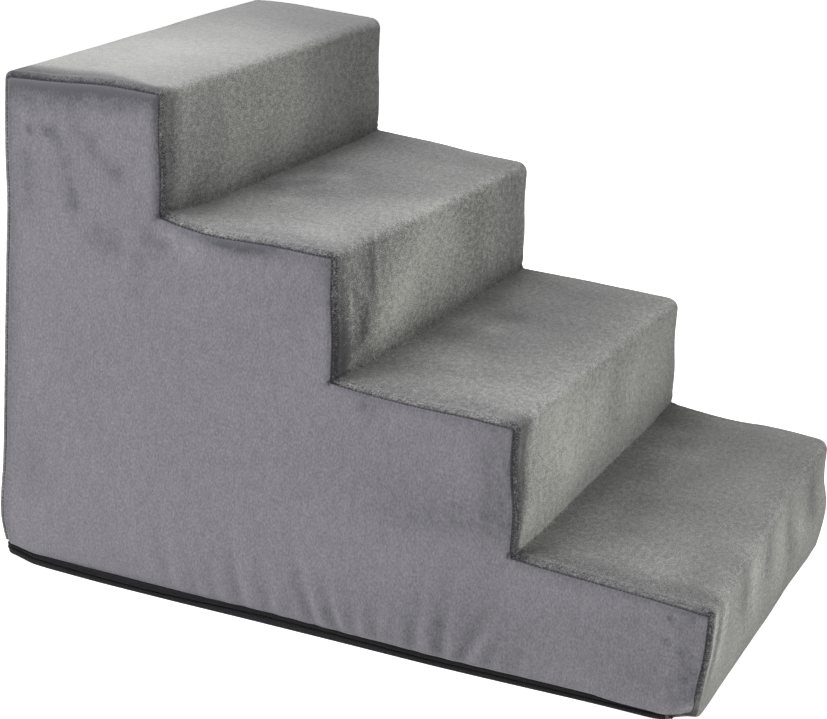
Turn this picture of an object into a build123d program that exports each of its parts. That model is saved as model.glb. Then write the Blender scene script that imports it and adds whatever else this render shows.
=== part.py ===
from build123d import *
from math import sqrt
import os

os.makedirs("parts", exist_ok=True)

# Foam pet stairs in a zipped velour cover, in millimetres.
# The stairs climb towards -X, Y runs across them and Z is up. The origin is on the floor, under the middle.

# Outside of the cover
step_count = 4
top_tread_depth = 138.0
tread_going = 154.0
step_rise = 102.0
stair_width = 400.0

# Soft form of the cover: crowned treads, rounded edges, lifted inner corners and a foot that is drawn in
tread_crown = 2.0
nose_radius = 14.0
seam_edge_radius = 10.0
front_droop = 5.0
corner_lift = 7.0
corner_reach = 30.0
corner_radius = 5.0
rear_lean = 4.0
belly_height = 60.0
hem_tuck = 6.0
front_tuck = 10.0

# Cloth, foam and thread
cloth_thickness = 2.0
base_thickness = 2.0
foam_clearance = 0.3
base_edge_clearance = 0.2
front_hem_depth = 12.0
foot_clearance = 0.3
thread_thickness = 0.8
thread_clearance = 0.05
zip_thread_rise = 3.0
zip_thread_setback = 4.0

# Zip: a coil chain between two tapes, round the near side, the rear and the far side
chain_height = 6.0
chain_gap = 0.8
chain_depth = 1.8
tape_thickness = 0.6
tape_clearance = 0.3
tape_hidden_width = 8.0
tape_flange_width = 9.0
hem_clearance = 0.3
zip_front_setback = 24.0
hem_slope_length = 8.0
stop_length = 2.0
stop_clearance = 0.3

# Slope cut from the foam's lower edge, which leaves room for the zip
relief_height = 28.0
relief_depth = 20.0
relief_top_depth = 5.0

# Slider, which rests at the closed end of the far side
slider_floor_clearance = 1.1
slider_length = 12.0
slider_height = 9.6
slider_plate_thickness = 1.1
slider_flange_height = 1.5
slider_corner_radius = 2.0
slider_clearance = 0.1
post_length = 3.0
rear_corner_setback = 20.0

# Pull tab, its eye, and the pin and lugs on the slider that carry it
pin_radius = 0.5
pin_clearance = 0.05
eye_radius = 1.0
eye_gap = 0.2
eye_length = 3.0
lug_thickness = 1.2
lug_gap = 0.1
pin_setback = 4.0
tab_thickness = 1.0
tab_length = 24.0
tab_width = 5.0
tab_neck_length = 6.0
tab_hole_radius = 1.3
tab_hole_setback = 3.0
tab_corner_radius = 1.2

# One overrun serves every cut
overrun = 20.0

# Places worked out from the sizes above
stair_length = top_tread_depth + (step_count - 1) * tread_going
stair_height = step_count * step_rise
rear_x = -stair_length / 2
front_x = stair_length / 2
side_y = stair_width / 2
nose_x = [front_x - step * tread_going for step in range(step_count)]
nose_z = [(step + 1) * step_rise for step in range(step_count)]
nose_z[0] = nose_z[0] - front_droop
base_front_x = front_x - front_tuck - front_hem_depth
zip_front_x = front_x - zip_front_setback
foam_inset = cloth_thickness + foam_clearance
foot_radius = (belly_height**2 + hem_tuck**2) / (2 * hem_tuck)
chain_centre_height = slider_floor_clearance + slider_height / 2
cover_hem_height = chain_centre_height + slider_height / 2 + hem_clearance
zip_thread_height = cover_hem_height + zip_thread_rise
hem_inset = foot_radius - sqrt(foot_radius**2 - (belly_height - cover_hem_height) ** 2)
tape_inset = hem_inset + cloth_thickness + tape_clearance
chain_inset = tape_inset - chain_depth
seam_drop = seam_edge_radius - sqrt(seam_edge_radius**2 - (seam_edge_radius - cloth_thickness) ** 2)


def picked(vertices, points):
    """The vertices that lie at the given points of a sketch."""
    reach = corner_radius / 2
    return [v for v in vertices if any((Vector(v.X, v.Y) - Vector(*p)).length < reach for p in points)]


def side_outline(bridged):
    """Outline seen from the side. Bridged, the cloth lifts off the foam in the inner corners."""
    noses = list(zip(nose_x, nose_z))
    rear_top = (rear_x + rear_lean, stair_height)
    rear_belly = (rear_x, belly_height)
    front_belly = (front_x, belly_height)
    corners = []
    with BuildSketch(Plane.XZ) as sketch:
        with BuildLine():
            rear_face = Line(rear_top, rear_belly)
            rear_foot = TangentArc(rear_belly, (rear_x + hem_tuck, 0), tangent=rear_face % 1)
            front_foot = TangentArc(front_belly, (front_x - front_tuck, 0), tangent=(0, -1))
            Line(rear_foot @ 1, front_foot @ 1)
            Line(noses[0], front_belly)
            SagittaArc(rear_top, noses[-1], tread_crown)
            for step in range(1, step_count):
                riser_x = nose_x[step]
                tread_z = step * step_rise
                tread = SagittaArc((riser_x + corner_reach, tread_z), noses[step - 1], tread_crown)
                heading = tread % 0
                if bridged:
                    corner = (riser_x, tread_z + corner_lift)
                    TangentArc(tread @ 0, corner, tangent=-heading)
                else:
                    corner = tread @ 0 - heading * (corner_reach / heading.X)
                    Line(corner, tread @ 0)
                Line(corner, noses[step])
                corners.append(corner)
        make_face()
        fillet(picked(sketch.vertices(), noses + [rear_top]), radius=nose_radius)
        if bridged:
            fillet(picked(sketch.vertices(), corners), radius=corner_radius)
    return sketch.sketch


def front_outline(inset):
    """Outline seen from the low end, drawn in by an inset. Only its sides cut: it runs past floor and top."""
    belly = (side_y - inset, belly_height)
    foot = (side_y - hem_tuck - inset, 0)
    with BuildSketch(Plane.YZ) as sketch:
        with BuildLine():
            TangentArc(belly, foot, tangent=(0, -1))
            Polyline(belly, (belly[0], stair_height + overrun), (0, stair_height + overrun))
            Polyline(foot, (foot[0], -overrun), (0, -overrun))
            mirror(about=Plane.YZ)
        make_face()
    return sketch.sketch


def drawn_in(outline, inset):
    """An outline moved in by an inset."""
    if inset == 0:
        return outline
    return offset(outline, amount=-inset, kind=Kind.INTERSECTION, mode=Mode.PRIVATE)


side_shape = side_outline(bridged=True)
foam_shape = side_outline(bridged=False)


def stair_body(outline, inset):
    """The whole stairs as one rounded body, drawn in evenly by an inset."""
    with BuildPart() as body:
        extrude(drawn_in(outline, inset), amount=side_y - inset, both=True)
        extrude(front_outline(inset), amount=stair_length, both=True, mode=Mode.INTERSECT)
        rim = body.edges().filter_by(lambda edge: abs(edge.center().Y) > side_y - inset - 2 * hem_tuck)
        seam_edges = rim.filter_by(lambda edge: edge.center().Z > inset + cloth_thickness)
        fillet(seam_edges, radius=seam_edge_radius - inset)
    return body.part


def across(outline_points):
    """A prism across the whole width, from points in the side view, used as a cutter."""
    with BuildPart() as prism:
        with BuildSketch(Plane.XZ):
            Polygon(*outline_points, align=None)
        extrude(amount=side_y + overrun, both=True)
    return prism.part


def seam_ring(margin):
    """A ring that follows both side seams round the outline, thicker than the thread by a margin."""
    with BuildPart() as ring:
        extrude(drawn_in(side_shape, seam_drop - thread_thickness - margin), amount=stair_width, both=True)
        extrude(drawn_in(side_shape, seam_drop + margin), amount=stair_width, both=True, mode=Mode.SUBTRACT)
        extrude(front_outline(cloth_thickness - margin), amount=stair_length, both=True, mode=Mode.INTERSECT)
        extrude(front_outline(cloth_thickness + thread_thickness + margin), amount=stair_length, both=True,
                mode=Mode.SUBTRACT)
    return ring.part


def zip_band(outer_inset, inner_inset, low, high, front=zip_front_x):
    """An upright band round the near side, the rear and the far side, between two insets and two heights."""
    with BuildPart() as band:
        for inset, mode in ((outer_inset, Mode.ADD), (inner_inset, Mode.SUBTRACT)):
            corner = max(seam_edge_radius + hem_inset - inset, tape_thickness)
            with BuildSketch(Plane.XY.offset(low)):
                RectangleRounded(stair_length - 2 * inset, stair_width - 2 * inset, corner)
            extrude(amount=high - low, mode=mode)
        with BuildSketch(Plane.XY.offset(low)):
            with Locations((front, 0)):
                Rectangle(stair_length, stair_width, align=(Align.MIN, Align.CENTER))
        extrude(amount=high - low, mode=Mode.SUBTRACT)
    return band.part


# Cutters of the lower edge: the cover ends in a hem above the zip, and at the front just above the floor
hem_start_x = zip_front_x + tape_clearance
hem_end_x = hem_start_x + hem_slope_length
panel_hem = across([
    (rear_x - overrun, -overrun),
    (front_x + overrun, -overrun),
    (front_x + overrun, foot_clearance),
    (hem_end_x, foot_clearance),
    (hem_start_x, cover_hem_height),
    (rear_x - overrun, cover_hem_height),
])
strip_hem = across([
    (rear_x - overrun, -overrun),
    (front_x + overrun, -overrun),
    (front_x + overrun, foot_clearance),
    (base_front_x, foot_clearance),
    (base_front_x, cover_hem_height),
    (rear_x - overrun, cover_hem_height),
])

outer_body = stair_body(side_shape, 0)
inner_body = stair_body(side_shape, cloth_thickness)

# Side panels: one piece of cloth each, cut to the outline of the stairs
with BuildPart() as side_panels:
    add(outer_body)
    extrude(front_outline(cloth_thickness), amount=stair_length, both=True, mode=Mode.SUBTRACT)
    add(panel_hem, mode=Mode.SUBTRACT)

panel_solids = side_panels.solids().sort_by(Axis.Y)
with BuildPart() as left_side_panel:
    add(panel_solids[0])
left_side_panel.part.label = "left_side_panel"
export_step(left_side_panel.part, "parts/left_side_panel.step")

with BuildPart() as right_side_panel:
    add(panel_solids[-1])
right_side_panel.part.label = "right_side_panel"
export_step(right_side_panel.part, "parts/right_side_panel.step")

# Tread strip: one length of cloth up the rear, over the treads and risers, and under the front edge
with BuildPart() as tread_strip:
    add(outer_body)
    extrude(front_outline(cloth_thickness), amount=stair_length, both=True, mode=Mode.INTERSECT)
    add(inner_body, mode=Mode.SUBTRACT)
    add(strip_hem, mode=Mode.SUBTRACT)
    add(seam_ring(thread_clearance), mode=Mode.SUBTRACT)
tread_strip.part.label = "tread_strip"
export_step(tread_strip.part, "parts/tread_strip.step")

# Seam threads, in the groove between the side panels and the strip
with BuildPart() as seam_threads:
    add(seam_ring(0))
    add(panel_hem, mode=Mode.SUBTRACT)

thread_solids = seam_threads.solids().sort_by(Axis.Y)
with BuildPart() as left_seam_thread:
    add(thread_solids[0])
left_seam_thread.part.label = "left_seam_thread"
export_step(left_seam_thread.part, "parts/left_seam_thread.step")

with BuildPart() as right_seam_thread:
    add(thread_solids[-1])
right_seam_thread.part.label = "right_seam_thread"
export_step(right_seam_thread.part, "parts/right_seam_thread.step")

# Base panel, which meets the floor. Its front edge is sewn to the strip's hem
base_inset = hem_tuck + cloth_thickness + base_edge_clearance
with BuildPart() as base_panel:
    with BuildSketch():
        RectangleRounded(stair_length - 2 * base_inset, stair_width - 2 * base_inset, seam_edge_radius / 2)
        with Locations((base_front_x, 0)):
            Rectangle(stair_length, stair_width, align=(Align.MIN, Align.CENTER), mode=Mode.SUBTRACT)
    extrude(amount=base_thickness)
    with BuildSketch(Plane.XY.offset(base_thickness)):
        with Locations((base_front_x, 0)):
            Rectangle(thread_thickness + thread_clearance, stair_width, align=(Align.MAX, Align.CENTER))
    extrude(amount=-thread_thickness - thread_clearance, mode=Mode.SUBTRACT)
base_panel.part.label = "base_panel"
export_step(base_panel.part, "parts/base_panel.step")

# Front hem thread, in the groove between the base and the strip's hem
with BuildPart() as front_hem_thread:
    with BuildSketch(Plane.XY.offset(base_thickness)):
        with Locations((base_front_x, 0)):
            Rectangle(thread_thickness, stair_width - 2 * base_inset, align=(Align.MAX, Align.CENTER))
    extrude(amount=-thread_thickness)
front_hem_thread.part.label = "front_hem_thread"
export_step(front_hem_thread.part, "parts/front_hem_thread.step")

# Zip tapes: the upper one is sewn behind the cover's hem, the lower one is turned in over the base
chain_half = chain_height / 2
row_low = chain_centre_height - chain_half
row_high = chain_centre_height + chain_half
gap_low = chain_centre_height - chain_gap / 2
gap_high = chain_centre_height + chain_gap / 2
tape_back_inset = tape_inset + tape_thickness

with BuildPart() as zip_tape_upper:
    add(zip_band(tape_inset, tape_back_inset, gap_high, cover_hem_height + tape_hidden_width))
zip_tape_upper.part.label = "zip_tape_upper"
export_step(zip_tape_upper.part, "parts/zip_tape_upper.step")

with BuildPart() as zip_tape_lower:
    add(zip_band(tape_inset, tape_back_inset, base_thickness, gap_low))
    add(zip_band(tape_inset, tape_inset + tape_flange_width, base_thickness, base_thickness + tape_thickness))
zip_tape_lower.part.label = "zip_tape_lower"
export_step(zip_tape_lower.part, "parts/zip_tape_lower.step")

# Coil rows of the chain, on the outside of the tapes
coil_front_x = zip_front_x - stop_length - stop_clearance
with BuildPart() as zip_coil_upper:
    add(zip_band(chain_inset, tape_inset, gap_high, row_high, coil_front_x))
zip_coil_upper.part.label = "zip_coil_upper"
export_step(zip_coil_upper.part, "parts/zip_coil_upper.step")

with BuildPart() as zip_coil_lower:
    add(zip_band(chain_inset, tape_inset, row_low, gap_low, coil_front_x))
zip_coil_lower.part.label = "zip_coil_lower"
export_step(zip_coil_lower.part, "parts/zip_coil_lower.step")

# Threads that hold the tapes: one behind the hem, one through the turned-in tape and the base
with BuildPart() as zip_thread_upper:
    add(zip_band(tape_back_inset, tape_back_inset + thread_thickness, zip_thread_height,
                 zip_thread_height + thread_thickness))
zip_thread_upper.part.label = "zip_thread_upper"
export_step(zip_thread_upper.part, "parts/zip_thread_upper.step")

lower_thread_inset = tape_inset + zip_thread_setback
lower_thread_height = base_thickness + tape_thickness
with BuildPart() as zip_thread_lower:
    add(zip_band(lower_thread_inset, lower_thread_inset + thread_thickness, lower_thread_height,
                 lower_thread_height + thread_thickness))
zip_thread_lower.part.label = "zip_thread_lower"
export_step(zip_thread_lower.part, "parts/zip_thread_lower.step")


def stop(face, low, high):
    """A stop pressed on the tape at the front end of a zip run. Face is the tape's plane on that side."""
    with BuildPart() as crimp:
        with BuildSketch(face):
            with Locations((zip_front_x - stop_length / 2, (low + high) / 2)):
                RectangleRounded(stop_length, high - low, stop_length / 4)
        extrude(amount=chain_depth)
    return crimp.part


# Stops: two at the closed end on the far side, where the slider rests, and one across both rows at the
# near end
far_tape_face = Plane((0, side_y - tape_inset, 0), x_dir=(1, 0, 0), z_dir=(0, -1, 0))
near_tape_face = Plane((0, -side_y + tape_inset, 0), x_dir=(1, 0, 0), z_dir=(0, -1, 0))

with BuildPart() as zip_top_stops:
    add(stop(far_tape_face.offset(-chain_depth), gap_high, row_high))
    add(stop(far_tape_face.offset(-chain_depth), row_low, gap_low))
zip_top_stops.part.label = "zip_top_stops"
export_step(zip_top_stops.part, "parts/zip_top_stops.step")

with BuildPart() as zip_bottom_stop:
    add(stop(near_tape_face, row_low, row_high))
zip_bottom_stop.part.label = "zip_bottom_stop"
export_step(zip_bottom_stop.part, "parts/zip_bottom_stop.step")

# Slider: two plates that hold the chain between them, joined by a post that runs between the rows
plate_inset = chain_inset - slider_clearance - slider_plate_thickness
slider_middle_x = coil_front_x - slider_length / 2
slider_middle = (slider_middle_x, side_y - plate_inset, chain_centre_height)
slider_face = Plane(slider_middle, x_dir=(1, 0, 0), z_dir=(0, -1, 0))
flange_depth = tape_inset - slider_clearance - plate_inset
inner_plate_depth = tape_back_inset + slider_clearance - plate_inset
pin_x = coil_front_x - pin_setback
pin_inset = plate_inset - eye_gap - eye_radius
pin_middle = (pin_x, side_y - pin_inset, chain_centre_height)
pin_foot = Plane(pin_middle)
lug_start = eye_length / 2 + lug_gap

with BuildPart() as zip_slider:
    with BuildSketch(slider_face):
        RectangleRounded(slider_length, slider_height, slider_corner_radius)
    extrude(amount=slider_plate_thickness)
    with BuildSketch(slider_face):
        RectangleRounded(slider_length, slider_height, slider_corner_radius)
        Rectangle(slider_length, slider_height - 2 * slider_flange_height, mode=Mode.SUBTRACT)
    extrude(amount=flange_depth)
    with BuildSketch(slider_face.offset(inner_plate_depth)):
        RectangleRounded(slider_length, chain_height + 2 * slider_clearance, slider_corner_radius)
    extrude(amount=slider_plate_thickness)
    with BuildSketch(slider_face):
        with Locations((slider_length / 2, 0)):
            Rectangle(post_length, chain_gap - 2 * slider_clearance, align=(Align.MAX, Align.CENTER))
    extrude(amount=inner_plate_depth)
    for side in (-1, 1):
        lug_foot = pin_foot.offset(side * lug_start)
        with BuildSketch(lug_foot):
            Circle(eye_radius)
            Rectangle(2 * eye_radius, eye_radius + eye_gap, align=(Align.CENTER, Align.MAX))
        extrude(amount=side * lug_thickness)
    with BuildSketch(pin_foot):
        Circle(pin_radius)
    extrude(amount=lug_start, both=True)
zip_slider.part.label = "zip_slider"
export_step(zip_slider.part, "parts/zip_slider.step")

# Pull tab, folded back along the closed chain
with BuildPart() as zip_pull_tab:
    with BuildSketch(pin_foot):
        Circle(eye_radius)
    extrude(amount=eye_length / 2, both=True)
    with BuildSketch(Plane(pin_middle, x_dir=(-1, 0, 0), z_dir=(0, 1, 0))):
        Rectangle(tab_neck_length, eye_length, align=(Align.MIN, Align.CENTER))
        with Locations(((tab_neck_length + tab_length) / 2, 0)):
            RectangleRounded(tab_length - tab_neck_length, tab_width, tab_corner_radius)
        with Locations((tab_length - tab_hole_setback, 0)):
            Circle(tab_hole_radius, mode=Mode.SUBTRACT)
    extrude(amount=tab_thickness / 2, both=True)
    with BuildSketch(pin_foot):
        Circle(pin_radius + pin_clearance)
    extrude(amount=tab_width, both=True, mode=Mode.SUBTRACT)
zip_pull_tab.part.label = "zip_pull_tab"
export_step(zip_pull_tab.part, "parts/zip_pull_tab.step")

# Room for the zip along the foam's lower edge, on the three sides where it runs
with BuildPart() as zip_relief:
    with BuildSketch():
        Rectangle(2 * stair_length, 2 * stair_width)
    extrude(amount=relief_height)
    for height, depth in ((0, relief_depth), (relief_height, relief_top_depth)):
        with BuildSketch(Plane.XY.offset(height)):
            with Locations((rear_x + depth, 0)):
                Rectangle(2 * stair_length, stair_width - 2 * depth, align=(Align.MIN, Align.CENTER))
    loft(ruled=True, mode=Mode.SUBTRACT)

# Foam: four slabs, each lying on the one below. A slab ends in line with the foot of the next riser
foam_corners = drawn_in(foam_shape, foam_inset).vertices()
with BuildPart() as foam_core:
    add(stair_body(foam_shape, foam_inset))
    add(zip_relief.part, mode=Mode.SUBTRACT)

foam_left = foam_core.part
for number in range(step_count, 0, -1):
    with BuildPart() as foam_slab:
        add(foam_left)
        if number > 1:
            foot = foam_corners.sort_by_distance((nose_x[number - 1], 0, (number - 1) * step_rise))[0]
            upper_part = across([
                (rear_x - overrun, foot.Z),
                (foot.X, foot.Z),
                (foot.X + overrun, foot.Z + overrun),
                (foot.X + overrun, stair_height + overrun),
                (rear_x - overrun, stair_height + overrun),
            ])
            add(upper_part, mode=Mode.INTERSECT)
    if number > 1:
        with BuildPart() as foam_rest:
            add(foam_left)
            add(upper_part, mode=Mode.SUBTRACT)
        foam_left = foam_rest.part
    foam_slab.part.label = f"foam_slab_{number}"
    export_step(foam_slab.part, f"parts/foam_slab_{number}.step")
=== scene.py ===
import math

import bpy
import numpy as np
from mathutils import Matrix, Vector, kdtree, noise
from mathutils.geometry import delaunay_2d_cdt

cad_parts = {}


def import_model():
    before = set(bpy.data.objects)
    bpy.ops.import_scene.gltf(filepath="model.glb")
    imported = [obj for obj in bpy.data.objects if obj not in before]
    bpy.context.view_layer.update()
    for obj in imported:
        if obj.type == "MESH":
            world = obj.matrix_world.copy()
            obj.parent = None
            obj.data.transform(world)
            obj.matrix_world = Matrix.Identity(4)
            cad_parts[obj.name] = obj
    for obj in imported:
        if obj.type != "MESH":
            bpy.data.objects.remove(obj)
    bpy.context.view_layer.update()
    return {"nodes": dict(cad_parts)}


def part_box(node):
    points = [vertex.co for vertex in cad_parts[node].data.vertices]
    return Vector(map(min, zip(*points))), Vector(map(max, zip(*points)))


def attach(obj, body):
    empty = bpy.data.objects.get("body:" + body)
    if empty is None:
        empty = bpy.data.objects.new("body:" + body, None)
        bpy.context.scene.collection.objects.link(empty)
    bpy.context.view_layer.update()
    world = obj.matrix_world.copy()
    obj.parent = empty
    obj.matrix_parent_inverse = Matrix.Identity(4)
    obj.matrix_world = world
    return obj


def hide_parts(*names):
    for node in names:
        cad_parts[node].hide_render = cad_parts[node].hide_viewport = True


# Foam pet stairs in a zipped velour cover. The frame is loaded first and never moved.
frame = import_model()

# Sizes of the stairs in metres, as the CAD source has them
STEPS, GOING, RISE, TOP_TREAD = 4, 0.154, 0.102, 0.138
LENGTH = TOP_TREAD + (STEPS - 1) * GOING
WIDTH = 0.400
CROWN, FRONT_DROOP, REAR_LEAN = 0.002, 0.005, 0.004
EDGE_RADIUS = 0.010
BELLY_HEIGHT, HEM_TUCK, FRONT_TUCK = 0.060, 0.006, 0.005
CLOTH, SEAM_INSET = 0.002, 0.004
FLOOR_GAP, HEM_HEIGHT = 0.0003, 0.011
REAR_X, FRONT_X, SIDE_Y = -LENGTH / 2, LENGTH / 2, WIDTH / 2
NOSE_X = [FRONT_X - step * GOING for step in range(STEPS)]
NOSE_Z = [(step + 1) * RISE - (FRONT_DROOP if step == 0 else 0) for step in range(STEPS)]
STRIP_END_X = FRONT_X - 0.022
HEM_START_X, HEM_END_X = FRONT_X - 0.0237, FRONT_X - 0.0157

# Sizes of the zip, in metres
ZIP_FRONT_X = FRONT_X - 0.024
CHAIN_FRONT_X = ZIP_FRONT_X - 0.0023
CHAIN_CENTRE, CHAIN_HALF, CHAIN_GAP = 0.0059, 0.003, 0.0008
TUCK_RADIUS = (BELLY_HEIGHT**2 + HEM_TUCK**2) / (2 * HEM_TUCK)
HEM_INSET = TUCK_RADIUS - math.sqrt(TUCK_RADIUS**2 - (BELLY_HEIGHT - HEM_HEIGHT) ** 2)
TAPE_INSET = HEM_INSET + CLOTH + 0.0003
TAPE, TAPE_WIDTH = 0.0006, 0.0127
BASE_INSET = HEM_TUCK + CLOTH + 0.0002


# Lines
def run_along(points):
    """Length along a line of points, up to each point."""
    return np.concatenate(([0.0], np.cumsum(np.linalg.norm(np.diff(points, axis=0), axis=1))))


def at_run(points, run, places):
    """Points at some lengths along a line."""
    return np.stack([np.interp(places, run, points[:, k]) for k in range(points.shape[1])], axis=1)


def looked_up(place, table):
    """Values from a table between its rows, whose first column holds the places."""
    places, *columns = np.array(table).T
    return [np.interp(place, places, column) for column in columns]


def eased(value):
    """Smooth step of a value from 0 to 1."""
    value = np.clip(value, 0, 1)
    return value * value * (3 - 2 * value)


def before(value, place, width):
    """0 from a place on, and up to 1 at a width before it."""
    return eased((place - value) / width)


def past(value, place, width):
    """0 up to a place, and up to 1 at a width past it."""
    return eased((value - place) / width)


def bell(offset, width):
    """A soft bump: 1 where the offset is 0, and 0.37 where it equals the width."""
    return np.exp(-((offset / width) ** 2))


def unit(vector):
    return vector / np.linalg.norm(vector)


def arched(start, end, rise):
    """A shallow arch from start to end, whose middle stands to the left of its chord by rise."""
    start, end = np.array(start, float), np.array(end, float)
    chord = end - start
    left = unit(np.array([-chord[1], chord[0]]))
    t = np.linspace(0, 1, 61)[:, None]
    return start + t * chord + 4 * rise * t * (1 - t) * left


def swept(start, heading, end):
    """A circular arc that leaves start in a given heading and ends at end."""
    start, end, heading = np.array(start, float), np.array(end, float), unit(np.array(heading, float))
    left = np.array([-heading[1], heading[0]])
    chord = end - start
    radius = chord @ chord / (2 * chord @ left)
    sweep = 2 * math.atan2(chord @ left, chord @ heading)
    t = np.linspace(0, sweep, 41)[:, None]
    return start + radius * (np.sin(t) * heading + (1 - np.cos(t)) * left)


def cut(points, start, end):
    """A line without its first start and its last end metres."""
    run = run_along(points)
    kept = points[(run > start + 1e-7) & (run < run[-1] - end - 1e-7)]
    tips = at_run(points, run, [start, run[-1] - end])
    return np.vstack((tips[:1], kept, tips[1:]))


def joined(legs, radii):
    """One line made of legs, whose corners are rounded to the given radii, and the middle of each corner."""
    legs, middles = [np.array(leg, float) for leg in legs], []
    for i, radius in enumerate(radii):
        before, after = unit(legs[i][-1] - legs[i][-2]), unit(legs[i + 1][1] - legs[i + 1][0])
        turn = math.acos(max(-1.0, min(1.0, before @ after)))
        if radius == 0 or turn < 0.01:
            middles.append(legs[i][-1])
            continue
        reach, handle = radius * math.tan(turn / 2), 4 / 3 * radius * math.tan(turn / 4)
        legs[i], legs[i + 1] = cut(legs[i], 0, reach), cut(legs[i + 1], reach, 0)
        a, d = legs[i][-1], legs[i + 1][0]
        b, c = a + handle * before, d - handle * after
        t = np.linspace(0, 1, 17)[1:-1, None]
        curve = a * (1 - t) ** 3 + 3 * b * t * (1 - t) ** 2 + 3 * c * t**2 * (1 - t) + d * t**3
        middles.append(curve[7])
        legs[i] = np.vstack((legs[i], curve))
    whole = np.vstack([legs[0]] + [leg[1:] if np.allclose(leg[0], legs[i][-1]) else leg
                                   for i, leg in enumerate(legs[1:])])
    return whole, np.array(middles)


def knots_of(path, middles):
    """Length along a path of its start, of each corner's middle and of its end."""
    run = run_along(path)
    return np.array([0.0] + [run[np.argmin(np.hypot(*(path - m).T))] for m in middles] + [run[-1]])


def spread(path, knots, step, turn_step=0.16, corner_step=0.0008):
    """Places along a path, as corner numbers and shares between them, closer together where it turns."""
    run = run_along(path)
    fine_run = np.linspace(0, run[-1], int(run[-1] / 0.0004))
    fine = at_run(path, run, fine_run)
    tangent = np.gradient(fine, fine_run, axis=0)
    heading = np.unwrap(np.arctan2(tangent[:, 1], tangent[:, 0]))
    density = np.abs(np.gradient(heading)) / turn_step + np.gradient(fine_run) / step
    for knot in knots[1:-1]:
        density += np.gradient(fine_run) / corner_step * bell(fine_run - knot, 0.005)
    measure = np.cumsum(density) - density[0]
    places = np.interp(np.linspace(0, measure[-1], int(measure[-1]) + 2), measure, fine_run)
    return np.interp(places, knots, np.arange(len(knots)))


def placed(path, knots, shares):
    """Points of a path at shared places, so that lines with the same corners can be matched."""
    return at_run(path, run_along(path), np.interp(shares, np.arange(len(knots)), knots))


def normals_of(points):
    """The normal on the left of a line, at each of its points."""
    along = np.gradient(points, axis=0)
    along /= np.linalg.norm(along, axis=1)[:, None]
    return np.stack([-along[:, 1], along[:, 0]], axis=1)


def cover_outline(inset, nose_radius, corner_radius, lifts, foot_radius):
    """Outline from the side, drawn in by an inset: from the rear hem, over all the steps, to the front hem.
    Lifts holds how high each inner corner is pulled up and how far along its tread, from the lowest up."""
    rear_top, rear_belly = (REAR_X + REAR_LEAN + inset, STEPS * RISE - inset), (REAR_X + inset, BELLY_HEIGHT)
    lean = np.array(rear_belly) - np.array(rear_top)
    foot = swept(rear_belly, lean, (REAR_X + HEM_TUCK + inset, 0))[::-1]
    hem_x = np.interp(HEM_HEIGHT, foot[:, 1], foot[:, 0])
    foot = np.vstack(([hem_x, HEM_HEIGHT], foot[foot[:, 1] > HEM_HEIGHT]))
    noses = [(x - inset, z - inset) for x, z in zip(NOSE_X, NOSE_Z)]
    legs, radii = [np.vstack((foot, [rear_top])), arched(rear_top, noses[-1], CROWN)], [nose_radius]
    for step in range(STEPS - 1, 0, -1):
        lift, reach = lifts[step - 1]
        tread = arched((noses[step][0], step * RISE - inset), noses[step - 1], CROWN)
        tread[:, 1] += lift * np.clip(1 - (tread[:, 0] - tread[0, 0]) / reach, 0, None) ** 2
        legs += [[noses[step], tread[0]], tread]
        radii += [nose_radius, corner_radius]
    tip = (FRONT_X - FRONT_TUCK - inset, FLOOR_GAP + inset)
    front = swept((FRONT_X - inset, BELLY_HEIGHT), (0, -1), tip)
    legs += [np.vstack(([noses[0]], front)), [tip, (STRIP_END_X, FLOOR_GAP + inset)]]
    path, middles = joined(legs, radii + [nose_radius, foot_radius])
    return path, knots_of(path, middles)


def tuck(z):
    """How far the sides are drawn in towards the zip at a height."""
    below = np.clip(BELLY_HEIGHT - z, 0, BELLY_HEIGHT)
    return TUCK_RADIUS - np.sqrt(TUCK_RADIUS**2 - below**2)


def triangulated(plan, border):
    """Triangles between points in a plan, inside the border that its first points make."""
    return delaunay_2d_cdt([Vector(spot) for spot in plan], [], [border], 1, 1e-7)


def tube(points, faces, rings):
    """Adds a tube with closed ends to a mesh's points and faces. Each ring has the same number of points."""
    base, sides, last = len(points), len(rings[0]), len(rings) - 1
    points += [spot for ring in rings for spot in ring]
    faces += [(base + k * sides + c, base + k * sides + (c + 1) % sides,
               base + (k + 1) * sides + (c + 1) % sides, base + (k + 1) * sides + c)
              for k in range(last) for c in range(sides)]
    far = base + last * sides
    faces += [tuple(range(base, base + sides))[::-1], tuple(range(far, far + sides))]


# Form of the cloth
def rough(points, size, seed=0.0):
    """Smooth noise from about -1 to 1 at each point, with lumps of a given size."""
    shifted = np.asarray(points) / size + np.multiply.outer(seed, (3.7, 1.3, 7.1))
    return np.array([noise.noise(p) for p in shifted.tolist()])


def strokes(u, v, marks):
    """Sum of soft strokes at some places. Each is its place in u and v, its length and width, its turn in
    degrees and its strength."""
    total = np.zeros(len(u))
    for at_u, at_v, length, width, turn, strength in marks:
        cosine, sine = math.cos(math.radians(turn)), math.sin(math.radians(turn))
        along, across = (u - at_u) * cosine + (v - at_v) * sine, (v - at_v) * cosine - (u - at_u) * sine
        total += strength * np.exp(-((along / length) ** 2) - (across / width) ** 2)
    return total


def seam_dip(edge):
    """The groove at the seam, where both cloths turn in, at a distance from the stitches."""
    return -0.0009 * bell(edge, 0.0008) + 0.0003 * bell(edge - 0.004, 0.0025)


def seam_pucker(run, edge, seed):
    """Small gathers that the stitches draw into the cloth beside the seam."""
    gather = rough(np.stack([run, edge * 0.3, 0 * run], axis=1), 0.0075, seed)
    return 0.0003 * gather * np.exp(-edge / 0.006) * (1 - np.exp(-edge / 0.0012))


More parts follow.
